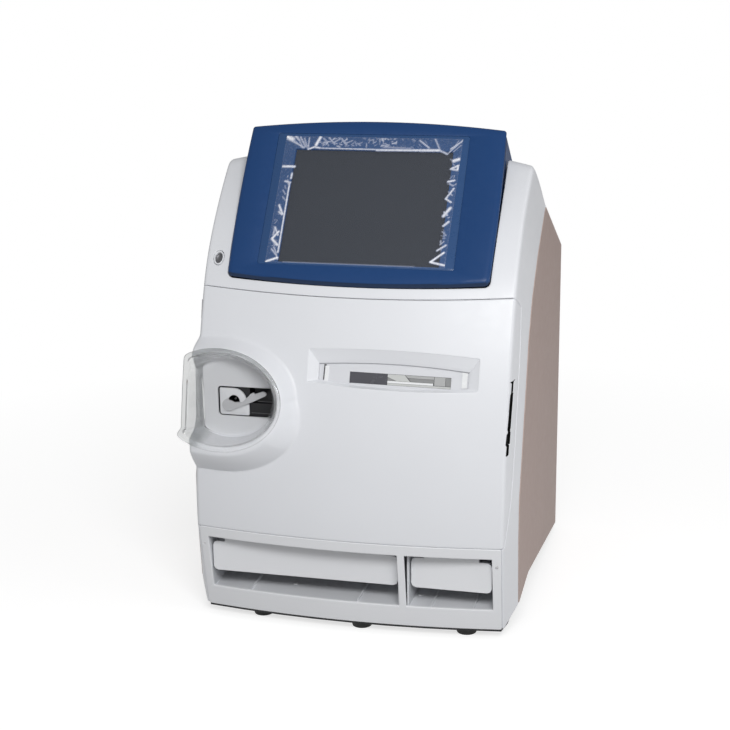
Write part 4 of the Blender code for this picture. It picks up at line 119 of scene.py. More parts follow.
def ridge_y(z):
    if z < SEAM_LOW:
        return CHIN_DEPTH * (SEAM_LOW - z) / (SEAM_LOW - CASE_LOW)
    if z < SEAM_HIGH:
        return DOOR_LEAN * ((z - SEAM_LOW) / DOOR_HIGH) ** DOOR_CURVE
    share = (z - SEAM_HIGH) / CONSOLE_RUN
    return DOOR_LEAN + CONSOLE_DEPTH * (share + share * share) / 2


def bulge(z):
    if z < SEAM_LOW:
        return BULGE_LOW
    if z < SEAM_HIGH:
        return BULGE_LOW - (BULGE_LOW - BULGE_MIDDLE) * (z - SEAM_LOW) / DOOR_HIGH
    share = min(1.0, (z - SEAM_HIGH) / (CONSOLE_TOP - SEAM_HIGH))
    return BULGE_MIDDLE - (BULGE_MIDDLE - BULGE_HIGH) * share


def front_y(x, z):
    return ridge_y(z) - bulge(z) * (1 - (x / ridge_half(z)) ** 2)


def cheek_edge_y(z):
    for (z0, y0), (z1, y1) in zip(CHEEK_EDGE, CHEEK_EDGE[1:]):
        if z <= z1:
            return y0 + (y1 - y0) * (z - z0) / (z1 - z0)
    return CHEEK_EDGE[-1][1]


def port_rise(x, z):
    across = x - PORT[0]
    across *= PORT_LEFT_STRETCH if across < 0 else PORT_HALF[1] / PORT_HALF[0]
    away = math.hypot(across, z - PORT[1])
    if away <= PORT_HALF[1]:
        return PORT_RISE
    skirt = SKIRT + SKIRT_BELOW * max(0.0, (PORT[1] - z) / away)
    share = 1 - min(1.0, (away - PORT_HALF[1]) / skirt)
    soft, firm = share * share * (3 - 2 * share), 1 - (1 - min(1.0, share / 0.75)) ** 1.25
    below = min(1.0, max(0.0, (PORT[1] - z) / away - 0.3) / 0.4)
    return PORT_RISE * (soft + (firm - soft) * below)


def crown(x):
    return CROWN * (1 - (x / CROWN_HALF) ** 2)


def roof_z(x, y):
    high = CONSOLE_TOP + crown(x)
    knee = ROOF_KNEE_Y + crown(x)
    if y < knee:
        return high
    return high + (ROOF_FRONT_Z - high) * (y - knee) / (ROOF_FRONT_Y - knee)


def curve(start, bend, end, share):
    return start * (1 - share) ** 2 + bend * (2 * share * (1 - share)) + end * share ** 2


def last_inside(inside, low, high, steps=24):
    """The highest value from low to high for which inside(value) holds, found by halving."""
    for _ in range(steps):
        middle = (low + high) / 2
        if inside(middle):
            low = middle
        else:
            high = middle
    return low


def box_corners(left, low, right, high):
    return (left, low), (right, low), (right, high), (left, high)


# Columns of the front are numbered by a station: 0 is the middle, 1 the ridge, 2 the grey cover
RIDGE_ROUND_IN = 0.982
RIDGE_ROUND_OUT = 1.13


def front_spot(share, z, raised):
    x = share * ridge_half(z)
    rise = port_rise(x, z) if raised else 0.0
    return Vector((x, front_y(x, z) - rise, z))


def cheek_spot(side, share, z, raised):
    ridge = front_spot(side, z, raised)
    edge = Vector((side * (CASE_HALF - COVER_GAP), cheek_edge_y(z), z))
    return ridge.lerp(edge, share)


def skin_spot(station, z, raised=False):
    side = -1.0 if station < 0 else 1.0
    away = abs(station)
    if away <= RIDGE_ROUND_IN:
        return front_spot(station, z, raised)
    if away >= RIDGE_ROUND_OUT:
        return cheek_spot(side, away - 1, z, raised)
    if away < 1:
        share = 0.5 * (away - RIDGE_ROUND_IN) / (1 - RIDGE_ROUND_IN)
    else:
        share = 0.5 + 0.5 * (away - 1) / (RIDGE_ROUND_OUT - 1)
    return curve(front_spot(side * RIDGE_ROUND_IN, z, raised), front_spot(side, z, raised),
                 cheek_spot(side, RIDGE_ROUND_OUT - 1, z, raised), share)


def stations(front_count, cheek_count):
    right = [RIDGE_ROUND_IN * i / front_count for i in range(front_count + 1)]
    right += [RIDGE_ROUND_IN + (1 - RIDGE_ROUND_IN) * i / 3 for i in (1, 2, 3)]
    right += [1 + (RIDGE_ROUND_OUT - 1) * i / 3 for i in (1, 2, 3)]
    right += [RIDGE_ROUND_OUT + (2.02 - RIDGE_ROUND_OUT) * (i + 1) / cheek_count
              for i in range(cheek_count)]
    return [-value for value in reversed(right[1:])] + right


# Sheets, rims and ring stacks

SNAP_SHARE = 0.14
PLAIN_RIM, PORT_RIM, WINDOW_RIM, GRIP_RIM = 1, 2, 3, 4


def mapped_grid(columns, rows, spot):
    """A grid whose corner (column, row) is moved to spot(column, row)."""
    bm = bmesh.new()
    bm.verts.layers.int.new("rim")
    bm.verts.layers.int.new("seat")
    bmesh.ops.create_grid(bm, x_segments=columns, y_segments=rows, size=0.5)
    for vert in bm.verts:
        vert.co = spot(round((vert.co.x + 0.5) * columns), round((vert.co.y + 0.5) * rows))
    return bm


def cut_away(bm, keep, rim_kind):
    """Trims a sheet to where keep(place) is positive and marks the new rim."""
    rim = bm.verts.layers.int["rim"]
    level = {vert: keep(vert.co) for vert in bm.verts}
    for edge in bm.edges:
        a, b = edge.verts
        if level[a] * level[b] < 0:
            share = level[a] / (level[a] - level[b])
            if share < SNAP_SHARE:
                a.co = a.co.lerp(b.co, share)
                level[a] = 0.0
            elif share > 1 - SNAP_SHARE:
                b.co = b.co.lerp(a.co, 1 - share)
                level[b] = 0.0
    crossing = [edge for edge in bm.edges if level[edge.verts[0]] * level[edge.verts[1]] < 0]
    for edge in crossing:
        a, b = edge.verts
        share = level[a] / (level[a] - level[b])
        level[bmesh.utils.edge_split(edge, a, share)[1]] = 0.0
    line = [vert for vert, value in level.items() if value == 0.0]
    bmesh.ops.connect_verts(bm, verts=line)
    gone = [face for face in bm.faces if sum(level[vert] for vert in face.verts) <= 0]
    bmesh.ops.delete(bm, geom=gone, context="FACES")
    for vert in line:
        if vert.is_valid and vert.is_boundary:
            vert[rim] = rim_kind


def extrude_ring(bm, edges, spot):
    """Extrudes edges once and moves each new corner to spot(corner); gives corners and edges."""
    grown = bmesh.ops.extrude_edge_only(bm, edges=edges)["geom"]
    fresh = {item for item in grown if isinstance(item, bmesh.types.BMVert)}
    for vert in fresh:
        vert.co = spot(vert)
    return fresh, [item for item in grown if isinstance(item, bmesh.types.BMEdge)
                   and item.verts[0] in fresh and item.verts[1] in fresh]


def plain_rim(radius, thick):
    """Rings from a rim's outer edge round to its inner edge: a rolled edge, then a straight wall."""
    def ring(turn):
        return lambda edge, up, out: (edge + out * radius * math.sin(turn)
                                      - up * radius * (1 - math.cos(turn)))
    steps = [ring(math.radians(angle)) for angle in (30, 60, 90)]
    return steps + [lambda edge, up, out: edge + out * radius - up * thick]


def thicken(bm, thick, rims):
    """Gives a sheet its inner face; rims[kind] lists the rings that join the two at each rim."""
    rim = bm.verts.layers.int["rim"]
    seat = bm.verts.layers.int["seat"]
    bmesh.ops.remove_doubles(bm, verts=bm.verts, dist=1e-4)
    bm.normal_update()
    seats = [None]
    for vert in [v for v in bm.verts if v.is_boundary]:
        near = [edge.other_vert(vert) for edge in vert.link_edges if edge.is_boundary]
        along = near[0].co - near[-1].co
        up = vert.normal.copy()
        out = up.cross(along)
        away = sum((vert.co - face.calc_center_median() for face in vert.link_faces), Vector())
        out.normalize()
        if out.dot(away) < 0:
            out.negate()
        seats.append((vert.co.copy(), up, out))
        vert[seat] = len(seats) - 1
        vert[rim] = vert[rim] or PLAIN_RIM
    outer = [edge for edge in bm.edges if edge.is_boundary]
    copied = bmesh.ops.duplicate(bm, geom=bm.verts[:] + bm.edges[:] + bm.faces[:])["geom"]
    inner = [item for item in copied if isinstance(item, bmesh.types.BMVert)]
    bm.normal_update()
    moved = [vert.co - vert.normal * thick for vert in inner]
    for vert, place in zip(inner, moved):
        vert.co = rims[vert[rim]][-1](*seats[vert[seat]]) if vert[seat] else place
    bmesh.ops.reverse_faces(bm, faces=[item for item in copied
                                       if isinstance(item, bmesh.types.BMFace)])
    closing = [vert for vert in inner if vert[seat]]
    for kind, rings in rims.items():
        edges = [edge for edge in outer
                 if edge.verts[0][rim] == kind and edge.verts[1][rim] == kind]
        for ring in rings:
            fresh, edges = extrude_ring(bm, edges, lambda vert: ring(*seats[vert[seat]]))
        closing += list(fresh)
    bmesh.ops.remove_doubles(bm, verts=closing, dist=1e-3)
    bmesh.ops.recalc_face_normals(bm, faces=bm.faces)


def ring_stack(loops, closed=False, caps=False):
    """A skin through loops of equal length: a circle is extruded from one to the next."""
    bm = bmesh.new()
    seat = bm.verts.layers.int.new("seat")
    bmesh.ops.create_circle(bm, cap_ends=False, segments=len(loops[0]), radius=1.0)
    for index, vert in enumerate(bm.verts):
        vert[seat] = index
        vert.co = loops[0][index]
    first = list(bm.edges)
    edges = first
    start = list(bm.verts)
    for loop in loops[1:] + (loops[:1] if closed else []):
        fresh, edges = extrude_ring(bm, edges, lambda vert: loop[vert[seat]])
    if closed:
        bmesh.ops.remove_doubles(bm, verts=start + list(fresh), dist=1e-4)
    if caps:
        bmesh.ops.edgeloop_fill(bm, edges=first)
        bmesh.ops.edgeloop_fill(bm, edges=edges)
    bmesh.ops.recalc_face_normals(bm, faces=bm.faces)
    return bm


def add_object(name, data):
    obj = bpy.data.objects.new(name, data)
    bpy.context.scene.collection.objects.link(obj)
    return obj


def make_piece(name, bm, look, body, slot, replaced=(), crease=32.0, bevel=0.0):
    """Turns a bmesh in millimetres into a piece in the frame, smooth except at its creases."""
    bmesh.ops.transform(bm, matrix=TO_FRAME, verts=bm.verts)
    mesh = bpy.data.meshes.new(name)
    bm.to_mesh(mesh)
    bm.free()
    mesh.polygons.foreach_set("use_smooth", [True] * len(mesh.polygons))
    mesh.set_sharp_from_angle(angle=math.radians(crease))
    mesh.materials.append(look)
    obj = add_object(name, mesh)
    if bevel:
        rounding = obj.modifiers.new("edges", "BEVEL")
        rounding.width = bevel * MM
        rounding.segments = 3
        rounding.limit_method = "ANGLE"
        rounding.angle_limit = math.radians(crease)
        rounding.harden_normals = False
    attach(obj, body)
    if replaced:
        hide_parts(*replaced)
    return obj


MERGE_REACH, MERGE_FLAT = 0.004, 1.2


def merged_copy(node):
    """A CAD node's mesh with its loose triangles joined and its flat faces made whole."""
    bm = bmesh.new()
    bm.from_mesh(nodes[node].data)
    bmesh.ops.transform(bm, matrix=FROM_FRAME, verts=bm.verts)
    bmesh.ops.remove_doubles(bm, verts=bm.verts, dist=MERGE_REACH)
    bmesh.ops.dissolve_limit(bm, angle_limit=math.radians(MERGE_FLAT), verts=bm.verts,
                             edges=bm.edges)
    return bm


# Shader nodes and node groups

def feed(tree, made, values):
    """Links or sets a node's inputs, by their labels or numbers."""
    for label, value in values.items():
        if isinstance(value, bpy.types.NodeSocket):
            tree.links.new(value, made.inputs[label])
        else:
            made.inputs[label].default_value = value


def new_node(tree, kind, values=None, **settings):
    made = tree.nodes.new("ShaderNode" + kind)
    for name, value in settings.items():
        setattr(made, name, value)
    feed(tree, made, values or {})
    return made


def node_group(name, inputs, outputs):
    tree = bpy.data.node_groups.new(name, "ShaderNodeTree")
    for label, kind, value in inputs:
        socket = tree.interface.new_socket(name=label, in_out="INPUT",
                                           socket_type="NodeSocket" + kind)
        if value is not None:
            socket.default_value = value
    for label, kind in outputs:
        tree.interface.new_socket(name=label, in_out="OUTPUT", socket_type="NodeSocket" + kind)
    return tree, tree.nodes.new("NodeGroupInput").outputs, tree.nodes.new("NodeGroupOutput").inputs


def noise_node(tree, where, scale, detail=3.0, rough=0.55):
    return new_node(tree, "TexNoise", {"Vector": where, "Scale": scale, "Detail": detail,
                                       "Roughness": rough}).outputs["Fac"]


def math_node(tree, operation, a, b, clamp=False):
    return new_node(tree, "Math", {0: a, 1: b}, operation=operation, use_clamp=clamp).outputs[0]


def ramp_node(tree, value, low, high, to_low=0.0, to_high=1.0):
    return new_node(tree, "MapRange", {"Value": value, "From Min": low, "From Max": high,
                                       "To Min": to_low, "To Max": to_high}).outputs["Result"]


def mix_node(tree, share, a, b, blend="MIX"):
    return new_node(tree, "Mix", {0: share, 6: a, 7: b}, data_type="RGBA",
                    blend_type=blend).outputs[2]


def length_node(tree, vector):
    return new_node(tree, "VectorMath", {0: vector}, operation="LENGTH").outputs["Value"]


def attribute_node(tree, name):
    return new_node(tree, "Attribute", attribute_name=name).outputs["Fac"]


def bump_node(tree, height, strength, distance):
    return new_node(tree, "Bump", {"Height": height, "Strength": strength,
                                   "Distance": distance}).outputs["Normal"]


def surface_group():
    """Slow drift of a moulded or painted colour, fine specks and light scuffs."""
    tree, given, made = node_group(
        "handled_surface",
        (("Vector", "Vector", None), ("Color", "Color", (0.8, 0.8, 0.8, 1.0)),
         ("Drift", "Float", 0.05), ("Speck", "Float", 0.03), ("Roughness", "Float", 0.4)),
        (("Color", "Color"), ("Roughness", "Float")))

    def swing(scale, amount):
        cloud = noise_node(tree, given["Vector"], scale, 2.0)
        return math_node(tree, "MULTIPLY", math_node(tree, "SUBTRACT", cloud, 0.5), given[amount])

    swings = math_node(tree, "ADD", swing(11.0, "Drift"), swing(1400.0, "Speck"))
    gain = math_node(tree, "ADD", swings, 1.0)
    shade = new_node(tree, "CombineColor", {0: gain, 1: gain, 2: gain}).outputs[0]
    tree.links.new(mix_node(tree, 1.0, given["Color"], shade, "MULTIPLY"), made["Color"])
    scuff = noise_node(tree, given["Vector"], 95.0, 5.0, 0.7)
    worn = ramp_node(tree, scuff, 0.35, 0.75, -0.05, 0.07)
    tree.links.new(math_node(tree, "ADD", given["Roughness"], worn, clamp=True), made["Roughness"])
    return tree


def grain_group():
    """Height of a fine moulded or sprayed grain."""
    tree, given, made = node_group(
        "fine_grain", (("Vector", "Vector", None), ("Scale", "Float", 900.0),
                       ("Cells", "Float", 0.4)), (("Height", "Float"),))
    cloud = noise_node(tree, given["Vector"], given["Scale"], 4.0, 0.6)
    cells = new_node(tree, "TexVoronoi", {"Vector": given["Vector"], "Scale": given["Scale"]})
    pits = math_node(tree, "MULTIPLY", cells.outputs["Distance"], given["Cells"])
    tree.links.new(math_node(tree, "ADD", cloud, pits), made["Height"])
    return tree


def edge_group():
    """Mask of the outer edges that hands and cloths polish."""
    tree, given, made = node_group("polished_edges", (("Vector", "Vector", None),),
                                   (("Mask", "Float"),))
    edge = ramp_node(tree, new_node(tree, "NewGeometry").outputs["Pointiness"], 0.52, 0.60)
    broken = ramp_node(tree, noise_node(tree, given["Vector"], 160.0, 4.0), 0.35, 0.65)
    tree.links.new(math_node(tree, "MULTIPLY", edge, broken, clamp=True), made["Mask"])
    return tree


SURFACE = surface_group()
GRAIN = grain_group()
EDGES = edge_group()


def blank_look(name):
    look = bpy.data.materials.new(name)
    look.use_nodes = True
    tree = look.node_tree
    return look, tree, tree.nodes["Principled BSDF"], new_node(tree, "TexCoord").outputs["Object"]


def use_group(tree, group, where, values):
    return new_node(tree, "Group", {"Vector": where, **values}, node_tree=group).outputs


def skin_nodes(tree, where, color, drift, speck, rough):
    """The shared surface's colour and roughness for one finish."""
    skin = use_group(tree, SURFACE, where, {"Color": (*color, 1.0), "Drift": drift, "Speck": speck,
                                            "Roughness": rough})
    return skin["Color"], skin["Roughness"]


def make_look(name, color, rough, grain=900.0, depth=0.00003, strength=0.25, drift=0.05,
              speck=0.03, metal=0.0, edge=None, cells=0.4, gloss=0.5, shade=None):
    """A moulded, painted or plated finish from the shared groups."""
    look, tree, shader, where = blank_look(name)
    shown, worn = skin_nodes(tree, where, color, drift, speck, rough)
    if edge:
        mask = use_group(tree, EDGES, where, {})["Mask"]
        shown = mix_node(tree, mask, shown, (*edge, 1.0))
    # A painted shade colour, mixed in where the piece's shade attribute is set.
    if shade:
        shown = mix_node(tree, attribute_node(tree, "shade"), shown, (*shade, 1.0))
    height = use_group(tree, GRAIN, where, {"Scale": grain, "Cells": cells})["Height"]
    feed(tree, shader, {"Base Color": shown, "Roughness": worn, "Metallic": metal, "IOR": 1.46,
                        "Specular IOR Level": gloss,
                        "Normal": bump_node(tree, height, strength, depth)})
    return look


def clear_look(name, color, rough, alpha, thick_and_shade_color, thick_and_shade_alpha):
    """Clear moulded plastic with slight flow marks, greyer where the wall is thick; along the lip the grey
    is also painted shade that fades towards the bottom, which leaves a painted highlight there.
    """
    look, tree, shader, where = blank_look(name)
    shown, worn = skin_nodes(tree, where, color, 0.03, 0.0, rough)
    # The thick attribute is the wall's thickness, and along the lip also painted shade that fades towards
    # the bottom.
    thick = attribute_node(tree, "thick")
    feed(tree, shader, {
        "Base Color": mix_node(tree, thick, shown, (*thick_and_shade_color, 1.0)),
        "Roughness": ramp_node(tree, worn, 0.0, 0.3, 0.0, 0.15),
        "Alpha": ramp_node(tree, thick, 0.0, 1.0, alpha, thick_and_shade_alpha),
        "Transmission Weight": 1.0, "IOR": 1.49,
        "Normal": bump_node(tree, noise_node(tree, where, 55.0, 2.0), 0.3, 0.0006)})
    return look


def film_look():
    """Thin clear film: nearly unseen where it lies flat, white where it is creased."""
    look, tree, shader, where = blank_look("creased_film")
    fine = noise_node(tree, where, 420.0)
    haze = math_node(tree, "MULTIPLY", attribute_node(tree, "crease"),
                     ramp_node(tree, fine, 0.3, 0.7, 0.75, 1.1))
    feed(tree, shader, {
        "Alpha": ramp_node(tree, haze, 0.0, 1.0, 0.015, 1.0),
        "Base Color": mix_node(tree, haze, (0.55, 0.62, 0.85, 1.0), (0.93, 0.94, 0.97, 1.0)),
        "Roughness": ramp_node(tree, fine, 0.2, 0.8, 0.12, 0.3)})
    return look


def bowl_shade_look(shell):
    """The shell's finish with painted shade: a little greyer inside the port's bowl."""
    look = shell.copy()
    look.name = "white_shell_bowl_shade"
    tree = look.node_tree
    color = tree.nodes["Principled BSDF"].inputs["Base Color"]
    where = new_node(tree, "TexCoord").outputs["Object"]
    flat = new_node(tree, "Mapping", {
        "Vector": where, "Scale": (1 / (PORT_HALF[0] * MM), 0.0, 1 / (PORT_HALF[1] * MM)),
        "Location": (-PORT[0] / PORT_HALF[0], 0.0, -PORT[1] / PORT_HALF[1])}).outputs["Vector"]
    depth = new_node(tree, "SeparateXYZ", {"Vector": where}).outputs["Y"]
    floor = (BOWL_FLOOR_Y + CASE_PLACE.y / MM) * MM
    mask = math_node(tree, "MULTIPLY",
                     ramp_node(tree, length_node(tree, flat), 0.93, 0.99, 1.0, 0.0),
                     ramp_node(tree, depth, floor - 0.012, floor - 0.002))
    # Painted shade: the bowl's floor is mixed to a greyer white.
    shown = mix_node(tree, mask, color.links[0].from_socket, (0.61, 0.62, 0.64, 1.0))
    tree.links.new(shown, color)
    return look


def screen_look():
    """Matt dark grey glass over an unlit panel, with its fine dot pitch."""
    look, tree, shader, where = blank_look("dark_screen")
    shown, worn = skin_nodes(tree, where, (0.040, 0.044, 0.050), 0.12, 0.22, 0.48)
    dots = noise_node(tree, where, 2600.0, 1.0)
    feed(tree, shader, {"Base Color": shown, "Roughness": worn, "IOR": 1.4,
                        "Specular IOR Level": 0.25, "Normal": bump_node(tree, dots, 0.05, 0.00002)})
    return look


def board_look():
    """Green solder mask with lighter tracks and pads."""
    look, tree, shader, where = blank_look("circuit_board_green")
    tracks = new_node(tree, "TexVoronoi", {"Scale": 130.0, "Vector": where},
                      distance="CHEBYCHEV", feature="DISTANCE_TO_EDGE")
    lines = ramp_node(tree, tracks.outputs["Distance"], 0.02, 0.09, 1.0, 0.0)
    shown, worn = skin_nodes(tree, where, (0.012, 0.13, 0.05), 0.2, 0.2, 0.35)
    feed(tree, shader, {"Base Color": mix_node(tree, lines, shown, (0.06, 0.26, 0.11, 1.0)),
                        "Roughness": worn, "Normal": bump_node(tree, lines, 0.4, 0.0001)})
    return look


def brushed_look(name, color, rough, stretch):
    """Rolled or plated sheet metal with faint lines along one way."""
    look, tree, shader, where = blank_look(name)
    turned = new_node(tree, "Mapping", {"Vector": where, "Scale": stretch}).outputs["Vector"]
    lines = noise_node(tree, turned, 60.0, 4.0)
    shown, worn = skin_nodes(tree, where, color, 0.16, 0.1, rough)
    darker = (color[0] * 0.6, color[1] * 0.6, color[2] * 0.6, 1.0)
    feed(tree, shader, {
        "Base Color": mix_node(tree, ramp_node(tree, lines, 0.3, 0.7, 0.0, 0.35), shown, darker),
        "Roughness": worn, "Metallic": 1.0, "Normal": bump_node(tree, lines, 0.25, 0.00005)})
    return look


WHITE_SHELL = make_look("white_shell", (0.735, 0.748, 0.780), 0.38, 1100.0, 0.00002, 0.18, 0.035, 0.02,
                        edge=(0.78, 0.79, 0.82))
DOOR_WHITE_BOWL_SHADE = bowl_shade_look(WHITE_SHELL)
# A lighter copy of the shell's white: painted light that makes up for the light the bays and lower front
# get.
BAY_WHITE_LIT = make_look("bay_white_lit", (0.785, 0.795, 0.82), 0.42, 1100.0, 0.00003, 0.22, 0.04, 0.02)
WINDOW_WHITE = make_look("window_white", (0.66, 0.67, 0.70), 0.36, 1100.0, 0.00002, 0.18, 0.05, 0.02)
LIGHT_GREY = make_look("light_grey_plastic", (0.70, 0.715, 0.745), 0.45, 1000.0, 0.00003, 0.3,
                       0.06, 0.03)
BUTTON_METAL = make_look("button_metal", (0.15, 0.15, 0.16), 0.45, 1300.0, 0.00002, 0.2, 0.08, 0.04,
                         metal=0.6, gloss=0.3)
# Its shade colour is painted shade for the bezel's lower edge.
BEZEL_BLUE = make_look("bezel_blue", (0.0085, 0.048, 0.163), 0.42, 1500.0, 0.00002, 0.20, 0.12, 0.06,
                       edge=(0.018, 0.068, 0.205), gloss=0.35, shade=(0.007, 0.022, 0.062))
# A dark navy that paints the shade in the recess under the bezel's edge.
NAVY_SHADE = make_look("navy_painted_shade", (0.004, 0.012, 0.040), 0.55, 1500.0, 0.00002, 0.20, 0.12, 0.06,
                 gloss=0.2)
MASK_BLUE = make_look("mask_blue", (0.022, 0.070, 0.190), 0.30, 1500.0, 0.00001, 0.10, 0.10, 0.05)
COVER_GREY = make_look("painted_cover", (0.45, 0.345, 0.312), 0.55, 700.0, 0.00003, 0.12, 0.07, 0.04,
                       edge=(0.49, 0.40, 0.365), cells=0.8, gloss=0.25)
BLACK_PLASTIC = make_look("black_plastic", (0.010, 0.010, 0.012), 0.40, 900.0, 0.00005, 0.30, 0.2, 0.25,
                          gloss=0.4)
SLOT_BLACK = make_look("slot_black", (0.004, 0.004, 0.004), 0.80, 900.0, 0.00003, 0.2, 0.1, 0.1,
                       gloss=0.08)
BLACK_RUBBER = make_look("black_rubber", (0.018, 0.018, 0.018), 0.72, 1400.0, 0.00008, 0.5, 0.2, 0.3)
PORT_WHITE = make_look("port_white", (0.66, 0.67, 0.69), 0.36, 1300.0, 0.00002, 0.2, 0.04, 0.02)
LEVER_GREY = make_look("lever_grey", (0.46, 0.465, 0.48), 0.40, 1300.0, 0.00002, 0.25, 0.08, 0.04)
RIDGE_GREY = make_look("ridge_grey", (0.075, 0.077, 0.082), 0.35, 900.0, 0.00002, 0.2, 0.1, 0.05)
PAPER = make_look("paper", (0.82, 0.81, 0.77), 0.75, 2200.0, 0.00003, 0.3, 0.03, 0.05)
STRIP_DARK = make_look("strip_dark", (0.082, 0.082, 0.095), 0.25, 900.0, 0.00002, 0.2, 0.5, 0.1)
CHAMBER_GREY = make_look("chamber_grey", (0.27, 0.275, 0.275), 0.22, 900.0, 0.00002, 0.2, 0.3, 0.05)
CHAMBER_PALE = make_look("chamber_pale", (0.42, 0.425, 0.425), 0.25, 900.0, 0.00002, 0.2, 0.2, 0.05)
CHAMBER_LIGHT = make_look("chamber_light", (0.56, 0.57, 0.56), 0.20, 900.0, 0.00002, 0.2, 0.2, 0.03)
CHAMBER_WHITE = make_look("chamber_white", (0.80, 0.81, 0.82), 0.25, 900.0, 0.00002, 0.2, 0.05, 0.02)
CLEAR_PLASTIC = clear_look("clear_plastic", (0.92, 0.92, 0.92), 0.05, 0.32, (0.68, 0.69, 0.69), 0.88)
CREASED_FILM = film_look()
DARK_SCREEN = screen_look()
CIRCUIT = board_look()
STEEL = brushed_look("steel_rod", (0.55, 0.55, 0.56), 0.28, (1.0, 1.0, 30.0))
ZINC = brushed_look("zinc_plate", (0.58, 0.58, 0.60), 0.42, (1.0, 14.0, 1.0))
ALUMINIUM = brushed_look("aluminium_block", (0.62, 0.63, 0.65), 0.36, (20.0, 1.0, 1.0))

LOOKS = {
    "white_plastic": BAY_WHITE_LIT, "light_grey_plastic": LIGHT_GREY, "blue_plastic": BEZEL_BLUE,
    "grey_painted_metal": COVER_GREY, "black_plastic": BLACK_PLASTIC, "black_rubber": BLACK_RUBBER,
    "steel": STEEL, "zinc_plated_steel": ZINC, "aluminium": ALUMINIUM, "clear_plastic": CLEAR_PLASTIC,
    "screen_glass": DARK_SCREEN, "clear_film": CREASED_FILM, "circuit_board": CIRCUIT, "paper": PAPER,
}


def node_slot(node):
    """The record's material slot of a CAD node, from the name of the material it was packed with."""
    name = nodes[node].data.materials[0].name.split(".")[0]
    return name if name in LOOKS else "white_plastic"


SLOTS = {name: node_slot(name) for name in nodes}
for name, node in nodes.items():
    look = LOOKS[SLOTS[name]]
    node.data.materials.clear()
    node.data.materials.append(look)


# Door

WINDOW_AXES = Matrix.Translation((45.7, 17.1, 283.3))
for angle, axis in ((1.2, "Z"), (0.9, "Y"), (-18.0, "X")):
    WINDOW_AXES = WINDOW_AXES @ Matrix.Rotation(math.radians(angle), 4, axis)
WINDOW_HALF = 78.45
WINDOW_HIGH = 8.4
WINDOW_BOW = 3.8
FLARE_SIDE, FLARE_TOP, FLARE_LOW = 10.2, 12.9, 3.6
WINDOW_DEPTH = 8.5
SIDE_SEAM_START, SIDE_SEAM_RUN = 3.0, 69.5
DOOR_TILT = math.atan2(SIDE_SEAM_RUN, DOOR_HIGH)
HINGE_AXIS = Vector((0.0, math.sin(DOOR_TILT), math.cos(DOOR_TILT)))
HINGES = (332.0, 196.0)
HINGE_X, HINGE_BEHIND, HINGE_REACH = -171.5, 1.0, 10.5
NOTCH_RADIUS = 2.7
GRIP_LOW, GRIP_HIGH = 206.5, 280.0
GRIP_STEPS = ((216.8, 2.9), (230.2, 4.4), (232.6, 3.1), (250.6, 4.0), (268.6, 4.3), (278.4, 3.0),
              (280.0, 6.6))
GRIP_RADIUS = 0.3
GRIP_BACK, GRIP_SPREAD = 4.5, 4.4


def side_seam_y(z):
    return SIDE_SEAM_START + SIDE_SEAM_RUN * (z - SEAM_LOW) / DOOR_HIGH

def inside_door(place, grow_left, grow_right, grow_ends):
    """How far a place on the front is inside the door's outline."""
    grow = grow_left if place.x < 0 else grow_right
    top = SEAM_HIGH - SEAM_BOW * max(0.0, 1 - (place.x / 166.86) ** 2) + grow_ends
    if place.y < DOOR_LEAN:
        top += (DOOR_LEAN - place.y) * math.tan(DOOR_TILT)
    else:
        kink = side_seam_y(SEAM_HIGH - KINK_DROP) + grow
        top -= KINK_DROP * (place.y - DOOR_LEAN) / (kink - DOOR_LEAN)
    return min(place.z - SEAM_LOW + grow_ends, top - place.z,
               (side_seam_y(place.z) + grow - place.y) * math.cos(DOOR_TILT))


def outside_hinges(place):
    """How far a place is clear of the notches round the hinges' knuckles."""
    clear = FAR_AWAY
    if place.x < 0:
        for height in HINGES:
            middle = Vector((HINGE_X, side_seam_y(height) + HINGE_BEHIND, height))
            along = (place - middle).dot(HINGE_AXIS)
            across = (place - middle - HINGE_AXIS * along).length
            clear = min(clear, max(across - NOTCH_RADIUS, abs(along) - HINGE_REACH))
    return clear


def grip_y(z):
    share = (z - GRIP_LOW) / (GRIP_HIGH - GRIP_LOW)
    return ridge_y(z) + GRIP_BACK + GRIP_SPREAD * share


def grip_half(z):
    """The finger slot's half width, which steps along its height."""
    return next((half for top, half in GRIP_STEPS if z <= top), GRIP_STEPS[-1][1])


def outside_grip(place):
    if place.x < 0 or place.y > DOOR_LEAN:
        return FAR_AWAY
    away = abs(place.y - grip_y(place.z)) - grip_half(place.z)
    return max(away, GRIP_LOW - place.z, place.z - GRIP_HIGH)


def rim_y(x, z):
    return front_y(x, z) - PORT_RISE


def bowl_share(place):
    """How deep a place is between the bowl's rim and its floor, from 0 to 1."""
    rim = rim_y(place.x, place.z)
    return min(1.0, max(0.0, (place.y - rim) / (BOWL_FLOOR_Y - rim)))


def bowl_oval(share, left):
    half = (PORT_MOUTH_LEFT if left else PORT_HALF[0])
    return (PORT[0] + (BOWL[0] - PORT[0]) * share, PORT[1] + (BOWL[1] - PORT[1]) * share,
            half + (BOWL_HALF[0] - half) * share, PORT_HALF[1] + (BOWL_HALF[1] - PORT_HALF[1]) * share)


def outside_bowl(place):
    middle_x, middle_z, half_x, half_z = bowl_oval(bowl_share(place), place.x < PORT[0])
    away = math.hypot((place.x - middle_x) / half_x, (place.z - middle_z) / half_z)
    return max((away - 1) * half_z, place.y - BOWL_FLOOR_Y)


def bowl_spot(place, deeper):
    """A place on the bowl's wall moved towards its floor by a share of what is left."""
    start = bowl_share(place)
    share = start + (1 - start) * deeper
    x0, z0, half_x0, half_z0 = bowl_oval(start, place.x < PORT[0])
    x1, z1, half_x1, half_z1 = bowl_oval(share, place.x < PORT[0])
    y = place.y + (BOWL_FLOOR_Y - place.y) * deeper
    if start > 0.999:
        return place.copy()
    return Vector((x1 + (place.x - x0) * half_x1 / half_x0, y, z1 + (place.z - z0) * half_z1 / half_z0))


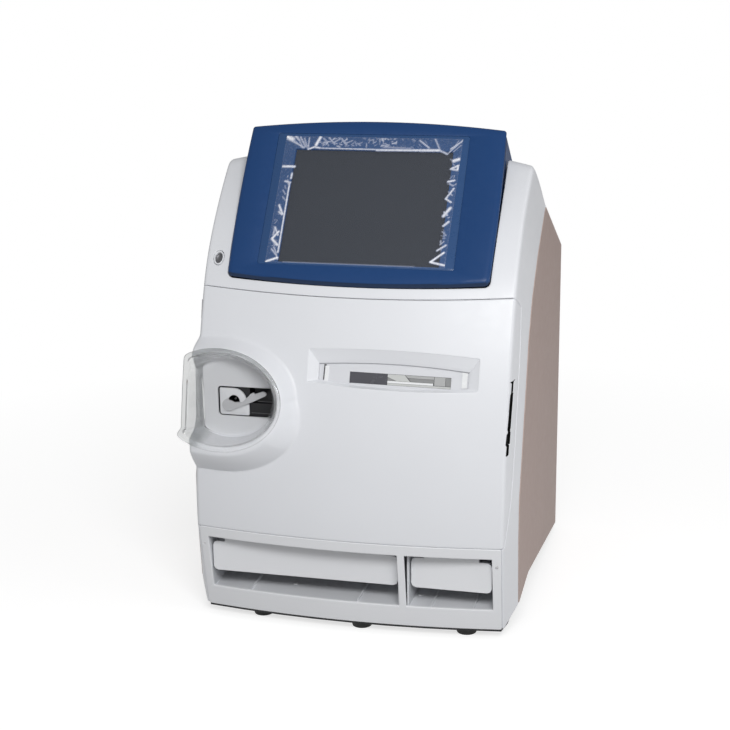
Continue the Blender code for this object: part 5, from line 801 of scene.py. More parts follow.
def slot_spot(place, grow=0.0):
    """Where a ray from the slot's middle through a place meets the slot's rounded outline."""
    ray = Vector((place.x - SLOT[0], place.z - SLOT[1])).normalized()

    def inside(reach):
        over_x = max(0.0, abs(ray.x * reach) - (SLOT_HALF[0] + grow) + SLOT_CORNER)
        over_z = max(0.0, abs(ray.y * reach) - (SLOT_HALF[1] + grow) + SLOT_CORNER)
        return math.hypot(over_x, over_z) <= SLOT_CORNER

    reach = last_inside(inside, 0.0, 60.0, 22)
    return Vector((SLOT[0] + ray.x * reach, place.y, SLOT[1] + ray.y * reach))


BOWL_RADIUS = 1.4
FLOOR_THICK = 2.6


def bowl_rings():
    """From the raised rim down the bowl's wall, across its floor, through the slot and back behind."""
    def start(edge, up, out):
        return edge + out * BOWL_RADIUS - up * BOWL_RADIUS

    def wall(share):
        return lambda edge, up, out: bowl_spot(start(edge, up, out), share)

    def floor(share, back=0.0):
        def ring(edge, up, out):
            foot = bowl_spot(start(edge, up, out), 1.0)
            spot = foot.lerp(slot_spot(foot), share)
            return Vector((spot.x, BOWL_FLOOR_Y + back, spot.z))
        return ring

    def fillet(share):
        return lambda edge, up, out: curve(wall(0.88)(edge, up, out), floor(0.0)(edge, up, out),
                                           floor(0.12)(edge, up, out), share)

    def slot_lip(turn):
        def ring(edge, up, out):
            foot = bowl_spot(start(edge, up, out), 1.0)
            spot = slot_spot(foot, 0.5 * (1 - math.sin(turn)))
            return Vector((spot.x, BOWL_FLOOR_Y + 0.5 * (1 - math.cos(turn)), spot.z))
        return ring

    rings = plain_rim(BOWL_RADIUS, DOOR_SKIN)[:3]
    rings += [wall(share) for share in (0.12, 0.25, 0.4, 0.55, 0.7, 0.8, 0.88)]
    rings += [fillet(share) for share in (0.25, 0.5, 0.75)]
    rings += [floor(share) for share in (0.12, 0.3, 0.5, 0.7, 0.85, 0.95)]
    rings += [slot_lip(math.radians(turn)) for turn in (0, 45, 90)]
    rings += [floor(1.0, FLOOR_THICK), floor(0.5, FLOOR_THICK), floor(0.0, FLOOR_THICK)]
    rings += [lambda edge, up, out: edge - up * DOOR_SKIN - out * 1.2]
    return rings


def window_place(place):
    """A place on the door in the window's own axes, seen from straight in front."""
    axes = WINDOW_AXES.to_3x3()
    across, inward, up = axes.col[0], axes.col[1], axes.col[2]
    gap = place - WINDOW_AXES.translation
    gap.y = -(inward.x * gap.x + inward.z * gap.z) / inward.y
    return across.dot(gap), up.dot(gap)


def window_limits(a):
    bow = WINDOW_BOW * (1 - min(1.0, abs(a) / (WINDOW_HALF + FLARE_SIDE)) ** 2)
    return -WINDOW_HIGH - FLARE_LOW - bow, WINDOW_HIGH + FLARE_TOP + bow


def outside_window(place):
    a, c = window_place(place)
    low, high = window_limits(a)
    return max(abs(a) - WINDOW_HALF - FLARE_SIDE, c - high, low - c)


WINDOW_RADIUS = 0.5


def window_rings():
    """From the door's face down the sloping surround to the throat, then back behind it."""
    def throat(depth, grow=0.0):
        def ring(edge, up, out):
            a, c = window_place(edge + out * WINDOW_RADIUS)
            low, high = window_limits(a)
            across = a / (WINDOW_HALF + FLARE_SIDE)
            bow = WINDOW_BOW * (1 - min(1.0, abs(across)) ** 2)
            share = (c - low) / (high - low)
            height = (WINDOW_HIGH + bow) * (2 * share - 1)
            scale = 1 + grow / WINDOW_HALF
            return WINDOW_AXES @ Vector((across * WINDOW_HALF * scale, depth,
                                         height * (1 + grow / WINDOW_HIGH)))
        return ring

    def flare(share):
        roll = plain_rim(WINDOW_RADIUS, DOOR_SKIN)[2]
        return lambda edge, up, out: roll(edge, up, out).lerp(
            throat(WINDOW_DEPTH - 0.4, 0.5)(edge, up, out), share)

    rings = plain_rim(WINDOW_RADIUS, DOOR_SKIN)[:3]
    rings += [flare(share) for share in (0.25, 0.5, 0.75, 1.0)]
    rings += [throat(WINDOW_DEPTH + behind, grow) for behind, grow in ((0.1, 0.0), (2.4, 0.0), (2.4, 2.6))]
    rings += [lambda edge, up, out: edge - up * DOOR_SKIN - out * 1.5]
    return rings


def make_door():
    across = stations(110, 22)
    rows = 168
    edge_radius = 0.9

    def spot(column, row):
        return skin_spot(across[column], SEAM_LOW - 2 + (SEAM_HIGH - SEAM_LOW + 6) * row / rows, True)

    bm = mapped_grid(len(across) - 1, rows, spot)
    cut_away(bm, lambda place: min(inside_door(place, -0.3, 0.0, 0.0) - edge_radius,
                                   outside_hinges(place) - 0.2), PLAIN_RIM)
    cut_away(bm, lambda place: outside_grip(place) - GRIP_RADIUS, GRIP_RIM)
    cut_away(bm, lambda place: outside_window(place) - WINDOW_RADIUS, WINDOW_RIM)
    cut_away(bm, lambda place: outside_bowl(place) - BOWL_RADIUS, PORT_RIM)
    thicken(bm, DOOR_SKIN, {PLAIN_RIM: plain_rim(edge_radius, DOOR_SKIN), WINDOW_RIM: window_rings(),
                            PORT_RIM: bowl_rings(), GRIP_RIM: plain_rim(GRIP_RADIUS, DOOR_SKIN)})
    make_piece("door_skin", bm, DOOR_WHITE_BOWL_SHADE, "door", "white_plastic", ("front_door",), crease=40)


def cheek_place(y, z):
    """The place on the right cheek at a given depth and height."""
    return skin_spot(last_inside(lambda station: skin_spot(station, z).y < y, 0.9, 2.0), z)


def make_grip_lining():
    """The black lining of the finger slot, which follows its steps."""
    heights = [GRIP_LOW + 0.2] + [top + shift for top, _ in GRIP_STEPS[:-1] for shift in (-0.4, 0.4)]
    heights += [GRIP_HIGH - 0.2]

    def outline(shrink, sunk):
        loop = []
        for side, order in ((1, heights), (-1, heights[::-1])):
            for z in order:
                inner = min(max(z, GRIP_LOW + shrink), GRIP_HIGH - shrink)
                place = cheek_place(grip_y(inner) + side * (grip_half(z) - shrink), inner)
                loop.append(Vector((place.x - sunk, place.y, place.z)))
        return loop

    rings = [outline(*ring) for ring in ((0.12, 0.3), (0.55, 0.3), (0.55, 2.8), (0.12, 2.8))]
    make_piece("grip_lining", ring_stack(rings, closed=True), SLOT_BLACK, "door", "black_plastic")


# Fixed front shell with its shoulders

def leaning_axes(lean, x, y, z):
    """Axes on a leaning face: across it, up along it and out of it."""
    return Matrix(((1.0, 0.0, 0.0, x), (0.0, math.sin(lean), -math.cos(lean), y),
                   (0.0, math.cos(lean), math.sin(lean), z), (0.0, 0.0, 0.0, 1.0)))


SCREEN_AXES = leaning_axes(math.radians(36.5), 0.0, 50.9, 375.0)
TO_SCREEN = SCREEN_AXES.inverted()
BEZEL_HALF = 139.25
BEZEL_HIGH = 177.7
BEZEL_BOW_TOP, BEZEL_BOW_LOW, BEZEL_BOW_SIDE = 8.45, 7.6, 2.0
BEZEL_CORNER = 5.0
BUTTON = (-153.0, 388.5)
BUTTON_HALF = (6.4, 8.7)
BUTTON_LEAN = math.atan((ridge_y(BUTTON[1] + 1) - ridge_y(BUTTON[1] - 1)) / 2)
BUTTON_AXES = leaning_axes(BUTTON_LEAN, BUTTON[0], front_y(*BUTTON), BUTTON[1])
TO_BUTTON = BUTTON_AXES.inverted()
SHELL_RADIUS = 0.8
CHEEK_FOOT_HIGH = 23.0


def outside_bezel(place, gap):
    spot = TO_SCREEN @ place
    across = min(1.0, abs(spot.x) / BEZEL_HALF)
    bow = BEZEL_BOW_SIDE * max(0.0, 1 - (2 * spot.y / BEZEL_HIGH - 1) ** 2)
    side = abs(spot.x) - BEZEL_HALF - bow
    low = -spot.y - BEZEL_BOW_LOW * (1 - across ** 2)
    high = spot.y - BEZEL_HIGH - BEZEL_BOW_TOP * (1 - across ** 2)
    over_x = side + BEZEL_CORNER
    over_z = low + BEZEL_CORNER
    if over_x > 0 and over_z > 0:
        return math.hypot(over_x, over_z) - BEZEL_CORNER - gap
    return max(side, low, high) - gap


def outside_button(place):
    if place.x > -120 or place.z < 370 or place.z > 410:
        return FAR_AWAY
    spot = TO_BUTTON @ place
    return (math.hypot(spot.x / (BUTTON_HALF[0] + 0.3), spot.y / (BUTTON_HALF[1] + 0.3)) - 1) * 7.5


def shell_keep(place):
    foot = max(0.0, abs(place.x) - RIDGE_HALF) * CHEEK_FOOT_HIGH / (CASE_HALF - RIDGE_HALF)
    bay = max(abs(place.x) - ridge_half(place.z) + 0.8, place.z - SEAM_LOW - SEAM_GAP)
    cover = min(cheek_edge_y(place.z), ROOF_FRONT_Y) - 0.3 - place.y
    return min(-inside_door(place, 2.0, SEAM_GAP, SEAM_GAP), bay, outside_bezel(place, SEAM_GAP),
               outside_button(place) + 0.5, place.z - (CASE_LOW + foot), cover,
               outside_hinges(place) + 0.6) - SHELL_RADIUS


def roof_start(station):
    """Height at which a column of the front meets the roof."""
    def below(height):
        place = skin_spot(station, height)
        return roof_z(place.x, place.y) > height
    return last_inside(below, 415.0, 505.0, 26)


def make_shell():
    across = stations(84, 14)
    face_rows, turn_rows, roof_rows = 236, 6, 14
    starts = [roof_start(station) for station in across]

    def spot(column, row):
        station = across[column]
        top = starts[column]
        corner = skin_spot(station, top)
        depth = max(0.0, ROOF_BACK_Y - corner.y)
        near = min(6.0, depth * 0.45)
        if row <= face_rows:
            return skin_spot(station, 10 + (top - near - 10) * row / face_rows)
        if row <= face_rows + turn_rows:
            below = skin_spot(station, top - near)
            behind = Vector((corner.x, corner.y + near, roof_z(corner.x, corner.y + near)))
            return curve(below, corner, behind, (row - face_rows) / turn_rows)
        y = corner.y + near + (depth - near) * (row - face_rows - turn_rows) / roof_rows
        return Vector((corner.x, y, roof_z(corner.x, y)))

    bm = mapped_grid(len(across) - 1, face_rows + turn_rows + roof_rows, spot)
    bmesh.ops.remove_doubles(bm, verts=bm.verts, dist=1e-4)
    cut_away(bm, shell_keep, PLAIN_RIM)
    thicken(bm, SHELL_SKIN, {PLAIN_RIM: plain_rim(SHELL_RADIUS, SHELL_SKIN)})
    make_piece("front_shell", bm, WHITE_SHELL, "chassis", "white_plastic", ("front_frame",),
               crease=40)


def oval(half_x, half_y, depth, axes, count=72):
    turns = [2 * math.pi * i / count for i in range(count)]
    return [axes @ Vector((half_x * math.cos(turn), half_y * math.sin(turn), depth))
            for turn in turns]


def make_button():
    """The standby button: a rounded white collar round a dished metal disc."""
    collar = ((5.6, 7.9, -4.0), (5.6, 7.9, -0.5), (5.45, 7.75, -0.1), (5.1, 7.35, 0.25),
              (4.75, 6.9, 0.3), (4.4, 6.4, 0.05), (4.15, 6.0, -0.6), (4.1, 5.9, -4.0))
    bm = ring_stack([oval(*ring, BUTTON_AXES) for ring in collar], closed=True)
    make_piece("button_collar", bm, WHITE_SHELL, "chassis", "white_plastic", ("button_ring",),
               crease=50)
    dish = ((3.9, 5.6, -6.9), (3.9, 5.6, -2.3), (3.75, 5.4, -2.1), (3.5, 5.1, -2.05), (2.8, 4.1, -2.45),
            (1.9, 2.8, -2.8), (1.0, 1.5, -2.95), (0.3, 0.45, -3.0))
    bm = ring_stack([oval(*ring, BUTTON_AXES) for ring in dish], caps=True)
    make_piece("button_dish", bm, BUTTON_METAL, "button", SLOTS["standby_button"],
               ("standby_button",), crease=50)


# Frame round the two bays, its screws and the studs in its trays

BAYS = ((-154.0, 55.5), (63.0, 153.5))
BAY_LOW, BAY_HIGH = 36.0, 97.5
SCREWS = ((-158.9, 88.0), (158.5, 88.5))


BAY_RADIUS = 0.7


def bay_keep(place):
    outer = min(ridge_half(place.z) - 1.4 - abs(place.x), place.z - CASE_LOW, 109.4 - place.z)
    for left, right in BAYS:
        outer = min(outer, max(left - place.x, place.x - right, BAY_LOW - place.z,
                               place.z - BAY_HIGH))
    for x, z in SCREWS:
        outer = min(outer, math.hypot(place.x - x, place.z - z) - 1.5 + BAY_RADIUS * 0.5)
    return outer - BAY_RADIUS


def make_bay_frame():
    columns, rows = 260, 88
    bm = mapped_grid(columns, rows, lambda column, row: front_spot(
        2 * column / columns - 1, 10 + 102.0 * row / rows, False))
    cut_away(bm, bay_keep, PLAIN_RIM)
    thicken(bm, SHELL_SKIN, {PLAIN_RIM: plain_rim(BAY_RADIUS, SHELL_SKIN)})
    make_piece("bay_surround", bm, BAY_WHITE_LIT, "chassis", "white_plastic", ("bay_frame",), crease=40)


def make_screws():
    """Small countersunk screws that hold the bay frame."""
    for index, (x, z) in enumerate(SCREWS):
        bm = bmesh.new()
        middle = Vector((x, front_y(x, z) + 1.1, z))
        axes = Matrix.Translation(middle) @ Matrix.Rotation(math.radians(-90), 4, "X")
        bmesh.ops.create_cone(bm, cap_ends=True, segments=24, radius1=1.35, radius2=0.9, depth=1.6,
                              matrix=axes)
        face = min(bm.faces, key=lambda item: item.calc_center_median().y)
        bmesh.ops.inset_individual(bm, faces=[face], thickness=0.45, depth=0.0)
        bmesh.ops.inset_individual(bm, faces=[face], thickness=0.12, depth=-0.5)
        make_piece("bay_screw_" + str(index), bm, STEEL, "chassis", "steel", crease=30)


STUDS = ((-68.2, 37.9), (70.7, 38.4))
TRAY_FLOOR = 34.0


def make_studs():
    """Low round studs on the floors of the two trays."""
    for index, (x, y) in enumerate(STUDS):
        axes = Matrix.Translation((x, y, TRAY_FLOOR))
        rings = ((2.6, -0.8), (2.6, 0.5), (2.3, 0.9), (1.6, 1.15), (0.5, 1.25))
        bm = ring_stack([oval(radius, radius, height, axes, 32) for radius, height in rings], caps=True)
        make_piece("tray_stud_" + str(index), bm, BAY_WHITE_LIT, "chassis", "white_plastic", crease=50)


# Screen

LOOP_SIDE = 22
LOOP_CORNER = 6
SIDE_WAYS = ((1, 0), (0, 1), (-1, 0), (0, -1))


def bowed_loop(left, right, low, high, corners, bows, depth):
    """A rectangle with round corners and bowed sides, anticlockwise from the lower left."""
    loop = []
    ends = box_corners(left, low, right, high)
    bow_low, bow_side, bow_high = bows
    for index, (x, y) in enumerate(ends):
        radius = corners[index]
        middle_x = x + radius if index in (0, 3) else x - radius
        middle_y = y + radius if index in (0, 1) else y - radius
        for step in range(LOOP_CORNER + 1):
            turn = math.pi * (1 + 0.5 * (index + step / LOOP_CORNER))
            loop.append((middle_x + radius * math.cos(turn), middle_y + radius * math.sin(turn)))
        after, reach = ends[(index + 1) % 4], corners[(index + 1) % 4]
        way_x, way_y = SIDE_WAYS[index]
        start, end = loop[-1], (after[0] - way_x * reach, after[1] - way_y * reach)
        for step in range(1, LOOP_SIDE):
            share = step / LOOP_SIDE
            loop.append((start[0] + (end[0] - start[0]) * share,
                         start[1] + (end[1] - start[1]) * share))
    placed = []
    for x, y in loop:
        across = 2 * (x - left) / (right - left) - 1
        upward = 2 * (y - low) / (high - low) - 1
        shift_y = bow_high * (1 - across ** 2) if upward > 0 else -bow_low * (1 - across ** 2)
        shift_y *= abs(upward)
        shift_x = bow_side * (1 - upward ** 2) * across
        placed.append(SCREEN_AXES @ Vector((x + shift_x, y + shift_y, depth)))
    return placed


def bezel_loop(inset, depth, foot=0.0):
    return bowed_loop(-BEZEL_HALF + inset, BEZEL_HALF - inset, inset + foot, BEZEL_HIGH - inset,
                      (5.0 - inset * 0.3, 5.0 - inset * 0.3, 2.4, 2.4),
                      (BEZEL_BOW_LOW, BEZEL_BOW_SIDE, BEZEL_BOW_TOP), depth)


def rect_loop(left, right, low, high, radius, depth):
    return bowed_loop(left, right, low, high, (radius,) * 4, (0.0, 0.0, 0.0), depth)


SHADE_HIGH, SHADE_DEPTH = 3.3, -0.8


def make_bezel():
    """The blue surround, with painted shade on its lower edge."""
    loops = [bezel_loop(*ring) for ring in (
        (2.2, -14.0), (2.2, -4.6), (0.2, -4.6), (0.0, -4.3), (0.0, -4.0), (0.2, -3.0, 0.5),
        (0.9, -1.8, 1.3), (1.9, -0.9, 1.3), (2.2, -0.75, 1.3), (4.0, -0.15, 0.3), (6.3, 0.0))]
    loops += [rect_loop(*ring) for ring in (
        (-108.6, 102.6, 12.9, 169.6, 3.6, 0.0), (-108.0, 102.0, 13.5, 169.0, 3.0, -0.3),
        (-107.9, 101.9, 13.6, 168.9, 2.9, -1.3), (-86.5, 86.5, 16.4, 150.8, 1.4, -1.3),
        (-85.9, 85.9, 17.0, 150.2, 1.0, -1.5), (-85.7, 85.7, 17.2, 150.0, 0.8, -2.6),
        (-96.0, 96.0, 8.2, 160.3, 1.0, -2.6), (-96.0, 96.0, 8.2, 160.3, 1.0, -14.0))]
    bm = ring_stack(loops, closed=True)
    # The shade layer marks the underside of the lower edge, which the look paints darker blue as shade.
    layer = bm.verts.layers.float.new("shade")
    for vert in bm.verts:
        spot = TO_SCREEN @ vert.co
        low = spot.y + BEZEL_BOW_LOW * (1 - min(1.0, abs(spot.x) / BEZEL_HALF) ** 2)
        vert[layer] = 1.0 if low < SHADE_HIGH and spot.z < SHADE_DEPTH else 0.0
    make_piece("screen_surround", bm, BEZEL_BLUE, "chassis", "blue_plastic", ("screen_bezel",),
               crease=28)


def make_bezel_shade_band():
    """A dark navy band under the bezel's edge: painted shade in the recess behind its lip."""
    loops = [bezel_loop(*ring) for ring in ((0.9, -13.8), (0.9, -4.7), (2.1, -4.7), (2.1, -13.8))]
    make_piece("screen_surround_shade_band", ring_stack(loops, closed=True), NAVY_SHADE, "chassis",
               "blue_plastic", crease=28)


def make_mask():
    """The smooth printed mask between the bezel and the screen."""
    loops = [rect_loop(*ring) for ring in (
        (-107.8, 101.8, 13.7, 168.8, 2.8, -1.2), (-107.8, 101.8, 13.7, 168.8, 2.8, -0.6),
        (-107.4, 101.4, 14.1, 168.4, 2.5, -0.4), (-86.6, 86.6, 16.3, 150.9, 1.4, -0.4),
        (-86.3, 86.3, 16.6, 150.6, 1.2, -0.6), (-86.3, 86.3, 16.6, 150.6, 1.2, -1.2))]
    make_piece("screen_mask", ring_stack(loops, closed=True), MASK_BLUE, "chassis", "blue_plastic",
               crease=28)


# Creases of the protective film: start, end, half width and height of each fold
FOLDS = (
    (-97.5, 164.2, -92.0, 161.5, 2.2, 1.0), (-96.5, 161.5, -77.0, 151.5, 0.7, 0.55),
    (-93.5, 163.0, -78.5, 151.0, 0.6, 0.5), (-88.5, 165.0, -84.0, 160.5, 1.0, 0.6),
    (-86.5, 164.5, -79.0, 152.0, 0.7, 0.4), (-83.0, 164.0, -76.0, 153.0, 0.8, 0.5),
    (-78.5, 163.0, -74.0, 152.0, 0.7, 0.4), (-73.0, 163.5, -72.8, 150.5, 0.7, 0.45),
    (-60.7, 164.8, -64.4, 155.0, 1.3, 1.0), (-72.3, 149.8, -66.0, 152.4, 0.8, 0.9),
    (-66.0, 152.4, -59.6, 151.4, 0.8, 0.9), (-57.0, 163.0, -52.0, 158.0, 0.8, 0.35),
    (-51.0, 164.0, -44.0, 156.5, 0.8, 0.4), (-46.0, 158.0, -39.0, 162.5, 0.7, 0.35),
    (-37.0, 163.0, -31.0, 156.0, 0.8, 0.4), (-33.0, 157.0, -25.0, 161.0, 0.7, 0.3),
    (-58.0, 151.2, 2.0, 150.9, 0.55, 0.75), (2.0, 150.9, 70.0, 150.8, 0.45, 0.25),
    (-97.0, 128.2, -84.6, 128.4, 1.1, 1.0), (-86.0, 120.0, -86.2, 114.2, 0.8, 0.9),
    (-92.0, 110.6, -86.4, 109.2, 0.9, 0.7), (-89.5, 112.0, -88.0, 107.0, 0.6, 0.5),
    (-86.9, 108.0, -87.0, 27.0, 0.65, 0.95), (-93.0, 100.0, -89.5, 95.0, 0.6, 0.4),
    (-92.0, 92.0, -88.5, 88.0, 0.6, 0.35), (-94.3, 82.0, -89.0, 71.6, 0.9, 0.9),
    (-93.4, 74.0, -89.2, 70.8, 0.8, 0.8), (-94.7, 55.9, -95.4, 47.0, 0.8, 0.5),
    (-94.7, 55.9, -90.2, 47.0, 0.8, 0.75), (-95.8, 43.0, -90.0, 51.0, 1.0, 0.95),
    (-95.8, 42.0, -89.0, 35.5, 1.1, 0.95), (-94.5, 30.5, -88.4, 23.8, 0.7, 0.6),
    (-92.5, 33.0, -88.6, 26.0, 0.6, 0.5), (-98.5, 15.9, -86.8, 20.8, 1.0, 1.0),
    (-88.5, 24.0, -86.5, 19.4, 0.7, 0.6), (-80.0, 16.2, 60.0, 16.4, 0.6, 0.16),
    (94.7, 163.9, 81.1, 148.6, 0.6, 0.5), (93.1, 161.8, 83.0, 153.4, 0.7, 0.6),
    (90.5, 163.5, 84.0, 152.0, 0.4, 0.3), (93.5, 158.0, 86.0, 150.0, 0.4, 0.35),
    (48.5, 162.9, 59.5, 154.2, 0.7, 0.55), (65.0, 164.7, 70.6, 153.8, 0.7, 0.45),
    (3.0, 150.3, 50.0, 150.9, 1.0, 0.8), (50.0, 150.9, 70.9, 151.4, 1.2, 0.85),
    (70.9, 151.4, 80.0, 147.2, 0.9, 0.6), (10.0, 154.0, 40.0, 153.0, 0.8, 0.25),
    (87.7, 139.2, 93.2, 141.4, 1.5, 0.95), (85.7, 129.7, 93.2, 133.9, 0.9, 0.85),
    (93.2, 133.9, 92.6, 128.5, 0.9, 0.9), (92.6, 128.5, 85.7, 129.7, 0.9, 0.7),
    (84.4, 114.8, 90.9, 116.4, 0.9, 0.8), (86.0, 112.5, 90.2, 110.0, 0.6, 0.5),
    (91.4, 107.0, 84.3, 94.8, 0.8, 0.8), (84.3, 94.8, 90.2, 91.0, 0.8, 0.85),
    (86.5, 103.0, 90.5, 99.0, 0.5, 0.5), (84.2, 74.9, 90.3, 84.3, 1.3, 0.9),
    (84.5, 79.5, 88.0, 76.0, 0.7, 0.7), (85.5, 63.7, 90.4, 68.5, 1.0, 0.8),
    (85.0, 57.0, 89.5, 53.0, 0.5, 0.45), (90.5, 41.7, 82.2, 35.5, 0.8, 0.75),
    (89.4, 33.2, 76.6, 22.3, 0.9, 1.0), (76.6, 22.3, 91.6, 19.1, 0.9, 1.0),
    (88.0, 46.0, 84.5, 42.0, 0.5, 0.4),
)
CRINKLES = (
    (26, -62.0, -26.0, 152.5, 164.0, 0.55), (22, -26.0, 6.0, 153.0, 164.0, 0.30),
    (24, 6.0, 27.0, 152.5, 164.0, 0.50), (12, 27.0, 60.0, 153.0, 164.0, 0.22),
    (14, -97.0, -89.0, 30.0, 118.0, 0.30), (22, 84.0, 93.0, 24.0, 148.0, 0.42),
)


def crinkled_folds():
    """The named folds and short fine ones scattered in the strips where the film is crushed."""
    draw = random.Random(7)
    folds = list(FOLDS)
    for count, left, right, low, high, height in CRINKLES:
        for _ in range(count):
            x, y = draw.uniform(left, right), draw.uniform(low, high)
            turn, reach = draw.uniform(0.0, math.pi), draw.uniform(1.5, 4.5)
            end_x = min(max(x + reach * math.cos(turn), left), right)
            end_y = min(max(y + reach * math.sin(turn), low), high)
            if math.hypot(end_x - x, end_y - y) > 0.5:
                half, lift = draw.uniform(0.3, 0.6), height * draw.uniform(0.4, 1.3)
                folds.append((x, y, end_x, end_y, half, lift))
    return folds


FILM_SIDES = ((-99.4, 0.9), (92.3, 2.7))
OPENING_HALF, OPENING_LOW, OPENING_HIGH = 86.2, 16.8, 150.6
FILM_GAUGE = 0.00008


def make_film():
    """The shipping film on the screen: one thin sheet, creased where it spans the screen's edge."""
    low, high = 15.4, 165.4
    columns, rows = 246, 190
    folds = crinkled_folds()

    def crease_at(x, y):
        best = 0.0
        for x0, y0, x1, y1, half, height in folds:
            along = Vector((x1 - x0, y1 - y0))
            gap = Vector((x - x0, y - y0))
            share = min(1.0, max(0.0, gap.dot(along) / along.length_squared))
            away = (gap - along * share).length
            if away < half * 2:
                fall = math.cos(min(1.0, away / (half * 2)) * math.pi / 2) ** 2
                best = max(best, fall * height)
        return best

    bm = bmesh.new()
    bmesh.ops.create_grid(bm, x_segments=columns, y_segments=rows, size=0.5)
    layer = bm.verts.layers.float.new("crease")
    for vert in bm.verts:
        y = low + (high - low) * (vert.co.y + 0.5)
        left, right = (foot + lean * (vert.co.y + 0.5) for foot, lean in FILM_SIDES)
        x = left + (right - left) * (vert.co.x + 0.5)
        fold = crease_at(x, y)
        edge = min(x - left, right - x, y - low, high - y)
        margin = float(abs(x) > OPENING_HALF or not OPENING_LOW <= y <= OPENING_HIGH)
        ripple = noise.noise(Vector((x * 0.16, y * 0.16, 0.0)))
        crackle = max(0.0, noise.noise(Vector((x * 0.55, y * 0.55, 4.0))) - 0.15) * margin
        vert[layer] = min(1.0, fold + 0.01 * margin + 0.14 * crackle + (0.08 if edge < 0.5 else 0.0))
        lift = -0.22 + 0.40 * fold * margin + 0.05 * ripple
        vert.co = SCREEN_AXES @ Vector((x, y, lift))
    film = make_piece("protective_film", bm, CREASED_FILM, "chassis", "clear_film", ("screen_film",),
                      crease=180)
    solid = film.modifiers.new("gauge", "SOLIDIFY")
    solid.thickness = FILM_GAUGE
    solid.offset = 0.0


# Sample port

def loop_oval(middle, half, y, left_limit=None, count=144):
    turns = [2 * math.pi * index / count for index in range(count)]
    loop = [Vector((middle[0] + half[0] * math.cos(turn), y, middle[1] + half[1] * math.sin(turn)))
            for turn in turns]
    if left_limit is not None:
        for spot in loop:
            spot.x = max(spot.x, left_limit(spot.z))
        for _ in range(5):
            smooth = [(loop[i - 1] + loop[i] * 2 + loop[(i + 1) % count]) / 4 for i in range(count)]
            loop = [Vector((max(spot.x, left_limit(spot.z)), spot.y, spot.z)) for spot in smooth]
    return loop


GUARD_LEFT, GUARD_BACK_LEFT, GUARD_BACK_Y = -170.0, -160.0, 16.5
TOE_REACH, TOE_TOP, TOE_HIGH = 9.5, 222.0, 12.0
GUARD_WALL_X, GUARD_LIP = -148.0, 2.5


def guard_mouth(grow, lift):
    """The guard's outline over the raised rim, with a toe at its lower left."""
    def limit(z):
        return GUARD_LEFT - grow - TOE_REACH * min(1.0, max(0.0, (TOE_TOP - z) / TOE_HIGH))
    loop = loop_oval(PORT, (PORT_HALF[0] + grow, PORT_HALF[1] + grow), 0.0, limit)
    return [Vector((spot.x, rim_y(spot.x, spot.z) - lift, spot.z)) for spot in loop]


def guard_back(shrink):
    return loop_oval(BOWL, (BOWL_HALF[0] - shrink, BOWL_HALF[1] - shrink), GUARD_BACK_Y,
                     lambda z: GUARD_BACK_LEFT + shrink)


def blend_loops(first, second, share):
    return [a.lerp(b, share) for a, b in zip(first, second)]


def make_guard():
    """The clear guard: a D-shaped funnel with a rolled lip over the raised rim."""
    lip = [guard_mouth(*ring) for ring in (
        (4.0, 0.65), (4.45, 1.0), (4.45, 1.7), (4.0, 2.3), (3.2, 2.55), (1.5, 2.6), (-0.6, 2.6),
        (-1.9, 2.3), (-2.5, 1.6))]
    inner_top, inner_end = guard_mouth(-2.65, 0.8), guard_back(2.6)
    outer_top, outer_end = guard_mouth(-0.7, -0.6), guard_back(0.6)
    wall = [blend_loops(inner_top, inner_end, share)
            for share in (0.0, 0.12, 0.25, 0.4, 0.55, 0.7, 0.85)]
    back = [blend_loops(outer_end, outer_top, share)
            for share in (0.0, 0.15, 0.3, 0.45, 0.6, 0.75, 0.88, 1.0)]
    loops = lip + wall + [inner_end] + back + [guard_mouth(0.3, 0.4), guard_mouth(2.5, 0.6)]
    bm = ring_stack(loops, closed=True)
    layer = bm.verts.layers.float.new("thick")
    for vert in bm.verts:
        depth = vert.co.y - rim_y(vert.co.x, vert.co.z)
        # The lip's grey is strongest at the top and fades towards the bottom: painted shade above, a
        # painted highlight along its lower edge.
        height = min(1.0, max(0.25, 0.6 + (vert.co.z - PORT[1]) / 60.0))
        rolled = min(1.0, max(0.0, (GUARD_LIP - depth) / 2.0)) * height
        vert[layer] = max(rolled, min(1.0, max(0.0, (GUARD_WALL_X - vert.co.x) / 10.0)))
    make_piece("clear_guard", bm, CLEAR_PLASTIC, "door", "clear_plastic", ("port_guard",), crease=50)


PORT_HOLE = (-126.7, 244.3)
PORT_FACE_LEFT, PORT_FACE_RIGHT, PORT_FACE_LOW, PORT_FACE_HIGH = -142.4, -110.2, 228.7, 257.8
PORT_DISC, PORT_FACE_STEP, PORT_FACE_CORNER = 13.4, 241.5, 2.2
PORT_COUNT = 120


def reach_loop(inside, y):
    """Where rays from the port's hole leave a region, as a loop."""
    loop = []
    for index in range(PORT_COUNT):
        turn = 2 * math.pi * index / PORT_COUNT
        ray = (math.cos(turn), math.sin(turn))
        reach = last_inside(lambda far: inside(PORT_HOLE[0] + ray[0] * far,
                                               PORT_HOLE[1] + ray[1] * far), 0.0, 40.0)
        loop.append(Vector((PORT_HOLE[0] + ray[0] * reach, y, PORT_HOLE[1] + ray[1] * reach)))
    return loop


def on_port_face(shrink):
    def inside(x, z):
        side = PORT_FACE_LEFT + shrink - x
        low = PORT_FACE_LOW + shrink - z
        if side > -PORT_FACE_CORNER and low > -PORT_FACE_CORNER:
            if math.hypot(side + PORT_FACE_CORNER, low + PORT_FACE_CORNER) > PORT_FACE_CORNER:
                return False
        disc = math.hypot(x - PORT_HOLE[0], z - PORT_HOLE[1]) < PORT_DISC - shrink
        below = z < PORT_FACE_STEP - shrink and x < PORT_FACE_RIGHT - shrink
        within = side < 0 and low < 0 and z < PORT_FACE_HIGH - shrink
        return within and (x < PORT_HOLE[0] or disc or below)
    return inside


